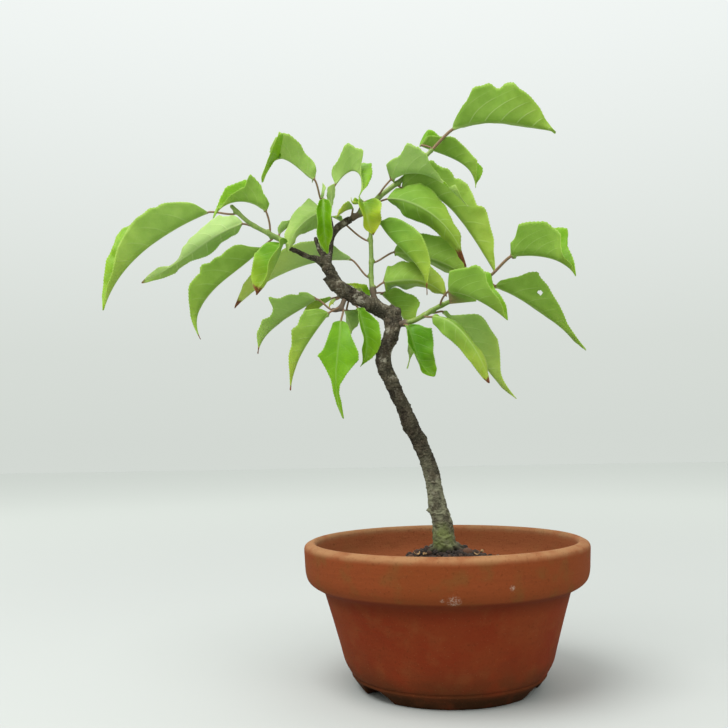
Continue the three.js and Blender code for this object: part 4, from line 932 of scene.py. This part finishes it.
for name, (places, radii, woody) in SHOOTS.items():
    rings, at = stem_rings(STEMS[name], radii, 0.35, 26, node_swelling(name), round_end=True)
    browning = np.clip((woody - at) / 0.5 + 0.5, 0, 1)[:, None] + 0 * rings[..., 0]
    shoot_mesh = join_tubes(name + "_skin", [rings], woody=browning)
    stand(name + "_skin", shoot_mesh, green_shoot, "green_stem", name)

# The leaves' skins: each is a reddish stalk that runs on as the midrib of a thin blade folded along it,
# with finely toothed and waved edges, side veins and a drawn-out tip. Above it is bright green, below it
# is paler.
BLADE_HALF, RIM_HALF = 0.14, 0.07
TOOTH = 1.15  # from tooth to tooth; each takes three rows of the mesh
SIDE_VEINS = 6.5  # on each half
SLOW = 6.5  # how far uneven growth reaches along the blade


def through_four(points, t):
    """The cubic curve through four places, at shares 0, 1/3, 2/3 and 1 of its length."""
    t = np.asarray(t)[:, None]
    weights = np.concatenate([
        -4.5 * (t - 1 / 3) * (t - 2 / 3) * (t - 1), 13.5 * t * (t - 2 / 3) * (t - 1),
        -13.5 * t * (t - 1 / 3) * (t - 1), 4.5 * t * (t - 1 / 3) * (t - 2 / 3),
    ], 1)
    return weights @ points


def blade_shape(t, widest, full):
    """Half width as a share of its widest: a bent sine up to there, then a blend of a broad and a
    drawn-out fall to the tip."""
    rise = np.sin(np.pi / 2 * np.clip(t / widest, 0, 1)) ** 0.65
    beyond = np.clip((t - widest) / (1 - widest), 0, 1)
    fall = full * (1 - beyond ** 2) ** 1.2 + (1 - full) * (1 - beyond) ** 1.8
    return np.where(t < widest, rise, fall)


def on_sheet(points):
    """Where the line of sight to each place crosses the upright sheet: across and up."""
    return (EYE + (points - EYE) * (EYE_DISTANCE / (EYE_DISTANCE + points[..., 1:2])))[..., ::2]


def reach_to(centre, direction, outline, share, ordinary, usable, blend):
    """How far each row reaches in its direction to meet an outline drawn on the sheet.

    On the sheet a row is a line a + s d, and a side of the outline p + q e; they meet at
    s = (p - a) x e / d x e. Going w millimetres in space comes to s = w (D + n) / (D + w n), with D the
    distance from the eye and n the part of the direction away from it. Where the outline says nothing
    the ordinary width stays, and the two meet over the blend, a share of the length."""
    cross = lambda u, v: u[..., 0] * v[..., 1] - u[..., 1] * v[..., 0]
    corners = np.array(outline, float)
    a = on_sheet(centre)[:, None]
    d, p, e = on_sheet(centre + direction)[:, None] - a, corners[None, :-1], np.diff(corners, axis=0)[None]
    bottom = cross(d, e)
    bottom = np.where(np.abs(bottom) < 1e-9, 1e-9, bottom)
    s, q = cross(p - a, e) / bottom, cross(p - a, d) / bottom
    s = np.where((q >= -0.02) & (q <= 1.02) & (s > 0), s, 0).max(1) * (share > 0)
    distance, n = EYE_DISTANCE + centre[:, 1], direction[:, 1]
    met = (s > 0) & (np.linalg.norm(d[:, 0], axis=1) > 0.45) & usable
    width = s * distance / (distance + n - s * n)
    first, last = share[met].min(), share[met].max()
    given = np.interp(share, np.concatenate([[0], share[met], [1]]), np.concatenate([[0], width[met], [0]]))
    trust = ease(share, first - blend, first) if first > 0.15 else 1
    trust = trust * (ease(-share, -last - blend, -last) if last < 0.85 else 1)
    return ordinary + (given - ordinary) * trust


def carry(start, tangents):
    """A direction carried along a row of tangents, made square to each in turn."""
    sides = []
    for tangent in tangents:
        start = unit(start - tangent * (start @ tangent))
        sides.append(start)
    return np.array(sides)


def stalk_root(stem, at, foot):
    """Where a stalk leaves its stem: square to it, from just off its bark, or from its end."""
    centre, ahead, behind = (follow(STEMS[stem], np.array([at + d]))[0] for d in (0.0, 0.02, -0.02))
    along = unit(ahead - behind)
    if at == len(STEMS[stem]) - 1:
        return centre - 0.25 * along, along
    out = foot - centre
    out = unit(out - along * (out @ along))
    radius = np.interp(at, np.arange(len(STEM_RADII[stem])), STEM_RADII[stem])
    return centre + out * (radius - 0.2), out


def leaf_path(stem, at, rib, rows):
    """A leaf's middle line: a stalk that bends into the midrib as a Bezier curve does, and the midrib.
    Also each place's share of the midrib, which is 0 on the stalk, and how many rows the stalk takes."""
    start, out = stalk_root(stem, at, rib[0])
    run = np.linalg.norm(rib[0] - start)
    first = unit(through_four(rib, [0.01])[0] - rib[0])
    stalk_rows = max(8, int(run / 0.55))
    t = np.linspace(0, 1, stalk_rows, endpoint=False)[:, None]
    chord = unit(rib[0] - start)
    bends = [start, start + unit(0.45 * out + 0.55 * chord) * run * 0.28,
             rib[0] - unit(0.45 * first + 0.55 * chord) * run * 0.28, rib[0]]
    stalk = sum(c * (1 - t) ** (3 - k) * t ** k * p for k, (c, p) in enumerate(zip((1, 3, 3, 1), bends)))
    share = np.linspace(0, 1, rows)
    centre = np.vstack([stalk, through_four(rib, share)])
    return centre, np.concatenate([np.zeros(stalk_rows), share]), stalk_rows


def leaf_frame(centre, share, middle, edge, form):
    """For each half its way from the midrib and its way up, the angle between them, and half the width.
    The near half's way is carried both ways from where the blade is widest, and leant over by the roll."""
    along = unit(np.gradient(centre, axis=0))
    to_edge = in_space(edge) - centre[middle]
    to_edge = to_edge - along[middle] * (to_edge @ along[middle])
    hand = np.sign(np.cross(along[middle], to_edge) @ (centre[middle] - EYE))
    side = np.vstack([carry(to_edge, along[:middle][::-1])[::-1], carry(to_edge, along[middle:])])
    turn, spread = form["turn"]
    lean = np.radians(form["roll"]) * ease(share, turn - spread / 2, turn + spread / 2)[:, None]
    near = side * np.cos(lean) - np.cross(along, side) * hand * np.sin(lean)
    near_up = np.cross(along, near) * (-hand if form["upper"] else hand)
    fold = np.radians(180 + (form["opening"] - 180) * ease(share, -0.03, 0.05) * (share > 0))[:, None]
    far = near * np.cos(fold) + near_up * np.sin(fold)
    far_up = near * np.sin(fold) - near_up * np.cos(fold)
    return (near, near_up), (far, far_up), fold, np.linalg.norm(to_edge)


def bend_down(width, cross, fold, half_width, sharpness):
    """How a half leaves the midrib flat and bends down, by half of what the fold takes from a flat blade
    and as a bell of the way x along it. Gives x, how far out it comes and how far down. What the bend
    takes from the reach is first given back to the width, up to three tenths of it."""
    for given_back in (False, True):
        x = width[:, None] * cross
        bend = np.minimum(0.6 + 0.13 * half_width, 0.15 + 0.35 * width)[:, None] * sharpness
        turn_in = (np.pi - fold) / 2 * np.exp(-((x / bend) ** 2))
        step = np.diff(x, axis=1, prepend=0)
        out, down = np.cumsum(step * np.cos(turn_in), 1), np.cumsum(step * np.sin(turn_in), 1)
        if not given_back:
            width = np.minimum(2 * width - out[:, -1], 1.3 * width)
    return x, out, down


def bite(quads, points, columns, hole):
    """Leaves out the cells of both faces whose middle lies within a hole's reach on the sheet, and joins
    the two faces by a wall all round it."""
    rows, around = points.shape[:2]
    index = np.arange(rows * around).reshape(rows, around)
    seen = on_sheet(points[:, :columns + 1])
    middles = (seen[:-1, :-1] + seen[1:, :-1] + seen[:-1, 1:] + seen[1:, 1:]) / 4
    gone = np.linalg.norm(middles - hole[:2], axis=-1) < hole[2]
    cells = np.zeros((rows - 1, around), bool)
    cells[:, :columns] = gone
    cells[:, around - 1 - columns:around - 1] = gone[:, ::-1]
    wide = np.pad(gone, 1)
    walls = []
    for step, side, flip in ((-1, 0, 1), (1, 0, 0), (-1, 1, 0), (1, 1, 1)):
        i, j = np.nonzero(gone & ~np.roll(wide, -step, side)[1:-1, 1:-1])
        shift = (step + 1) // 2
        a = (i + shift, j) if side == 0 else (i, j + shift)
        b = (i + shift, j + 1) if side == 0 else (i + 1, j + shift)
        ends = index[a], index[b], index[b[0], around - 1 - b[1]], index[a[0], around - 1 - a[1]]
        walls.append(np.stack(ends[::-1] if flip else ends, 1))
    return np.concatenate([quads[~cells.ravel()], *walls])


def grow_leaf(name, number, stem, at, midrib, edge, form):
    """A leaf's skin over two parameters: the way from its stalk's root to its tip, and the way across
    from the near edge to the far one, once for each face. Waves, ruffles and the swelling between side
    veins lift the two halves off their planes."""
    rib = in_space(midrib)
    length = np.linalg.norm(np.diff(through_four(rib, np.linspace(0, 1, 40)), axis=0), axis=1).sum()
    rows = max(24, 3 * round(length / TOOTH))
    columns = 22 if form["hole"] else 11 if length > 25 else 8
    cross = np.linspace(0, 1, columns + 1)[1:] ** 1.15
    centre, share, stalk_rows = leaf_path(stem, at, rib, rows)
    middle = stalk_rows + round(form["widest"] * (rows - 1))
    near, far, fold, half_width = leaf_frame(centre, share, middle, edge, form)
    blade = ease(share, 0, 0.1)[:, None]

    # The outline: as drawn, or swellings and uneven growth, with teeth, each half with its own
    phase, slow = 2.4 * number, share * length / SLOW
    swell = 1 + 0.06 * np.sin(2 * np.pi * 3.1 * share + phase)
    shape = half_width * blade_shape(share, form["widest"], form["full"]) * swell
    teeth = np.tile([0.0, 0.55, 1.0], len(share))[:len(share)] * np.minimum(0.3, 0.05 * half_width)
    teeth = teeth * ease(share, 0.05, 0.16) * ease(-share, -0.97, -0.8)
    slimmest = form["stalk"] * (1 - ease(share, 0.3, 1) * 0.72)
    folded, rest = form["folded"] or (1, 1)
    blending, sharpness = (0.012, 0.3) if form["folded"] else (0.06, 1)
    drawn_in = 1 - (1 - rest) * ease(share, folded - 0.02, folded + 0.03)
    halves = []
    for sign, (direction, up), outlines in ((1, near, EDGES), (-1, far, FAR_EDGES)):
        shape = shape * (drawn_in if sign > 0 else 0.85 / drawn_in)
        if name in outlines:
            usable = not form["folded"] or (share < folded if sign > 0 else share > folded)
            shape = reach_to(centre, direction, outlines[name], share, shape, usable, blending)
            held = np.pad(np.clip(shape, 0, 1.7 * half_width), 1, "edge")
            width = shape = np.convolve(held, [0.25, 0.5, 0.25], "valid")
        else:
            growth = np.stack([slow, 0 * slow + 7 * number, 0 * slow + sign], 1)
            width = shape * (1 + 0.045 * clouds(growth, 1.0, 11.0, 2))
        x, out, down = bend_down(np.maximum(width + teeth, slimmest), cross, fold, half_width, sharpness)
        wave = 0.07 * half_width * np.sin(2 * np.pi * 2.3 * share + 1.7 * phase)[:, None] * cross
        spots = np.broadcast_arrays(slow[:, None] * 1.5, cross * 1.3 + 3 * sign, 5.0 * number)
        ruffle = 0.05 * half_width * clouds(np.stack(spots, -1), 1.0, 5.0, 2) * cross ** 2
        veins = (share[:, None] * length - 0.5 * x - 0.05 * x ** 2) / (length / SIDE_VEINS) + 0.5 * (sign < 0)
        quilt = np.abs(np.sin(np.pi * veins)) ** 0.7 * np.minimum(x, 4) / 4 * (1 - cross ** 3)
        lift = blade * (wave + ruffle + (0.1 + 0.2 * form["veined"]) * quilt) - down
        points = centre[:, None] + direction[:, None] * out[..., None] + up[:, None] * lift[..., None]
        halves.append((points, x, veins))
    (near_points, near_x, near_veins), (far_points, far_x, far_veins) = halves
    sheet = np.concatenate([near_points[:, ::-1], centre[:, None], far_points], 1)
    x = np.concatenate([near_x[:, ::-1], 0 * share[:, None], far_x], 1)
    veins = np.concatenate([near_veins[:, ::-1], 0 * share[:, None], far_veins], 1)
    reach = np.concatenate([cross[::-1], [0], cross])[None] + 0 * x

    # The thickness: a round stalk that stays as a rib below and sinks into the blade above
    normal = unit(np.cross(np.gradient(sheet, axis=0), np.gradient(sheet, axis=1)))
    normal = normal * np.sign(normal[middle, columns] @ (near[1] + far[1])[middle])
    rib_radius = (form["stalk"] * (1 - ease(share)) + 0.11 * ease(share))[:, None]
    round_rib = np.sqrt(np.clip(rib_radius ** 2 - x ** 2, 0, None))
    thin = RIM_HALF + (BLADE_HALF - RIM_HALF) * (1 - reach ** 4)
    above = np.maximum(thin, round_rib * (1 - 0.9 * blade))
    below = np.maximum(thin, round_rib)
    faces = [sheet + normal * above[..., None], (sheet - normal * below[..., None])[:, ::-1]]
    points = np.concatenate(faces, 1)
    points[-1] = points[-1] * 0.3 + points[-1].mean(0) * 0.7

    # What the blade's colour follows: alike on both faces, but for top
    way = share[:, None] + 0 * x
    near_half = np.repeat([1, 0], [columns + 1, columns])
    jag = 0.02 * clouds(np.stack([x * 1.1, way * 9, x * 0 + number], -1), 1.0, 8.0, 2)
    marks = dict(
        veins=veins, reach=reach, veined=form["veined"], deep_and_painted_shade=form["deep_and_painted_shade"],
        stalk=1 - ease(way, -0.001, 0.004 + 0.016 * (x < 0.5)),
        brown=form["brown"] and ease(way + jag, 1 - form["brown"] - 0.02, 1 - form["brown"] + 0.015),
        yellow=form["yellow"] * ease(way + 0.15 * (reach - 0.5) + 4 * jag, 0.45 - 0.7 * form["yellow"], 1),
        pale_and_painted_light=np.dot(np.broadcast_to(form["pale_and_painted_light"], 2), [near_half, 1 - near_half]),
        rib=np.clip(1.4 - x / rib_radius, 0, 1), tone=chance(3.0, np.array(number, float), 1.0, 2.0),
    )
    for mark, values in marks.items():
        marks[mark] = np.concatenate([values + 0 * x, (values + 0 * x)[:, ::-1]], 1)
    marks["top"] = np.concatenate([1 + 0 * x, 0 * x], 1)
    quads, caps = ring_faces(*points.shape[:2])
    if form["hole"]:
        quads = bite(quads, points, columns, form["hole"])
    return to_mesh("blade_" + name, points, quads, caps, **marks)


leaf = Finish("leaf_blade", "789a36", Subsurface_Weight=0.28, Subsurface_Scale=0.0009, Roughness=0.55,
              Subsurface_Radius=(0.7, 1.0, 0.25), Specular_IOR_Level=0.18)
top, reach = leaf.mark("top"), leaf.mark("reach")
mottle = leaf.noise(6, 3)
fine = leaf.noise(0.7, 3)
leaf.lay("86a643", mottle, 0.3, 0.7)
# paler by the pale mark: partly the leaf's own paler green, partly painted light on leaves that lie in shade
leaf.lay("b0c983", leaf.times(leaf.mark("pale_and_painted_light"), 0.8))
leaf.lay(leaf.blend(leaf.ramp(mottle, 0.3, 0.7), "649405", "72a20c"), top)
# deeper green by the deep mark: partly the leaf's own tone, partly painted shade on leaves that lie in shadow
leaf.lay("487f08", leaf.times(leaf.mark("deep_and_painted_shade"), 0.8))
leaf.lay("678f2c", leaf.mark("tone"), 0, 1, 0.25)
leaf.lay("557a28", fine, 0.5, 0.75, 0.15)
leaf.lay("b9bd3c", leaf.times(leaf.mark("yellow"), 0.85))
side_vein = leaf.ramp(leaf.math("PINGPONG", leaf.mark("veins"), 0.5), 0.055, 0.015)
side_vein = leaf.times(leaf.times(side_vein, leaf.ramp(reach, 0.95, 0.5)), leaf.mark("veined"))
vein = leaf.math("MAXIMUM", side_vein, leaf.times(leaf.mark("rib"), leaf.ramp(top, 0, 1, 0.8, 0.35)))
leaf.lay("b5c884", leaf.times(vein, 0.5))
leaf.lay("a3bd62", reach, 0.93, 1, 0.4)
leaf.lay(leaf.blend(leaf.ramp(fine, 0.35, 0.65), "75654a", "8c6b55"), leaf.mark("stalk"))
leaf.lay(leaf.blend(leaf.ramp(fine, 0.35, 0.6), "5a2e1a", "7d4a2b"), leaf.mark("brown"))
net = leaf.cells(1300, feature="DISTANCE_TO_EDGE")
leaf_blade = leaf.end(leaf.ramp(top, 0, 1, 0.62, 0.45), (net, 0.03), (vein, 0.12), (fine, 0.05))

for number, (name, (stem, at, midrib, edge, changes)) in enumerate(LEAVES.items()):
    form = {**ORDINARY, **changes}
    leaf_mesh = grow_leaf(name, number, stem, float(at), midrib, edge, form)
    slot = "leaf_upperside" if form["upper"] else "leaf_underside"
    stand("blade_" + name, leaf_mesh, leaf_blade, slot, "leaf_" + name)

# Dry scraps: thin curled bits of old bark and root that lie on the soil beside the trunk. Each is a strip
# of dry brown fibre, given here by its place, its reach and its turn in degrees.
SCRAPS = ((-11.9, -7.5, 54.6, 2.4, 30), (-8.6, -9.5, 54.8, 1.6, 120), (13.0, -8.2, 54.5, 2.2, -20),
          (15.5, 4.0, 53.8, 2.0, 80), (-15.0, 9.0, 52.8, 2.3, 10))


def curled_scrap(x, y, z, reach, turn):
    """A strip whose middle line is part of a circle lying on its side, with a lens-shaped section."""
    bend = np.linspace(-1.5, 1.7, 26)[:, None]
    round_strip = np.linspace(0, 2 * np.pi, 12, endpoint=False)
    width = 0.75 * np.sqrt(1 - (bend / 2.1) ** 2) * (1 + 0.2 * np.sin(5 * bend))
    local = np.stack([reach / 2 * np.sin(bend) + 0 * round_strip, width * np.cos(round_strip),
                      reach / 2.6 * (1 - np.cos(bend)) + 0.22 * np.sin(round_strip)], -1)
    angle = np.radians(turn)
    spin = np.array([[np.cos(angle), np.sin(angle), 0], [-np.sin(angle), np.cos(angle), 0], [0, 0, 1]])
    return local @ spin + [x, y, z]


husk = Finish("dry_husk", "7e5f3c", Roughness=0.85)
fibre = husk.noise(0.9, 4)
husk.lay("a5875d", fibre, 0.35, 0.65)
dry_husk = husk.end(None, (fibre, 0.1))
scrap_mesh = join_tubes("dry_scraps", [curled_scrap(*scrap) for scrap in SCRAPS])
stand("dry_scraps", scrap_mesh, dry_husk, "soil")

# The stage: a pale floor, darker round its middle by painted shade, soft light from above and a little
# from the left, and a camera where the photograph was taken, a little above the pot and turned to the
# left of it.
FLOOR_HALF = 2500
paper = Finish("pale_floor", (0.47, 0.49, 0.47, 1), Roughness=0.95, Specular_IOR_Level=0.1)
# painted shade: the floor is darker round its middle, where the pot stands, and paler outwards
from_middle = paper.put("VectorMath", {0: paper.place}, operation="LENGTH").outputs["Value"]
paper.lay((0.59, 0.62, 0.585, 1), from_middle, 0.2, 1.1)
floor_corners = np.array([(-1, -1, 0), (1, -1, 0), (1, 1, 0), (-1, 1, 0)]) * FLOOR_HALF
floor_mesh = to_mesh("floor", floor_corners, np.array([[0, 1, 2, 3]]))
floor_mesh.materials.append(paper.end())
floor = bpy.data.objects.new("floor", floor_mesh)
bpy.context.scene.collection.objects.link(floor)

sky = bpy.data.worlds.new("studio")
bpy.context.scene.world = sky
sky.use_nodes = True
dome, join = sky.node_tree.nodes, sky.node_tree.links
direction, height = dome.new("ShaderNodeTexCoord"), dome.new("ShaderNodeSeparateXYZ")
glow = dome.new("ShaderNodeValToRGB")
join.new(direction.outputs["Generated"], height.inputs[0])
join.new(height.outputs["Z"], glow.inputs["Fac"])
join.new(glow.outputs["Color"], dome["Background"].inputs["Color"])
for rise in (0.1, 0.4):
    glow.color_ramp.elements.new(rise)
GLOW = ((0.65, 0.69, 0.65), (0.68, 0.72, 0.68), (0.86, 0.90, 0.88), (1.2, 1.2, 1.2))
for stop, light in zip(glow.color_ramp.elements, GLOW):
    stop.color = (*light, 1)


def softbox(name, place, aim, size, power):
    """A round area lamp at a place in metres, turned to what it lights."""
    lamp = bpy.data.lights.new(name, "AREA")
    lamp.shape, lamp.size, lamp.energy = "DISK", size, power
    held = bpy.data.objects.new(name, lamp)
    bpy.context.scene.collection.objects.link(held)
    back = unit(np.array(place) - np.array(aim))
    right = unit(np.cross([0, 1, 0.001], back))
    turned = np.stack([right, np.cross(back, right), back], 1)
    held.matrix_world = Matrix.Translation(place) @ Matrix(turned.tolist()).to_4x4()


softbox("key_above", (-0.35, -0.45, 1.15), (0, 0, 0.14), 0.9, 13)
softbox("fill_right", (0.9, -0.9, 0.6), (0, 0, 0.12), 0.8, 2.2)

CAMERA_BACK, CAMERA_UP, SENSOR_WIDTH = 0.38124, 0.10455, 36
YAW, PITCH, ROLL, FOCAL_PIXELS, PHOTO_PIXELS = -0.08702, -0.08111, -0.01985, 880, 728
ahead = np.array([np.sin(YAW) * np.cos(PITCH), np.cos(YAW) * np.cos(PITCH), -np.sin(PITCH)])
level = np.array([np.cos(YAW), -np.sin(YAW), 0])
above = np.cross(level, ahead)
right = np.cos(ROLL) * level + np.sin(ROLL) * above
upward = np.cos(ROLL) * above - np.sin(ROLL) * level
lens = bpy.data.cameras.new("photo_camera")
lens.sensor_width, lens.lens = SENSOR_WIDTH, SENSOR_WIDTH * FOCAL_PIXELS / PHOTO_PIXELS
lens.clip_start, lens.clip_end = 0.01, 20
camera = bpy.data.objects.new("photo_camera", lens)
bpy.context.scene.collection.objects.link(camera)
stood = Matrix(np.stack([right, upward, -ahead], 1).tolist()).to_4x4()
camera.matrix_world = Matrix.Translation(AXIS + [0, -CAMERA_BACK, CAMERA_UP]) @ stood
bpy.context.scene.camera = camera
bpy.context.scene.view_settings.view_transform = "Standard"
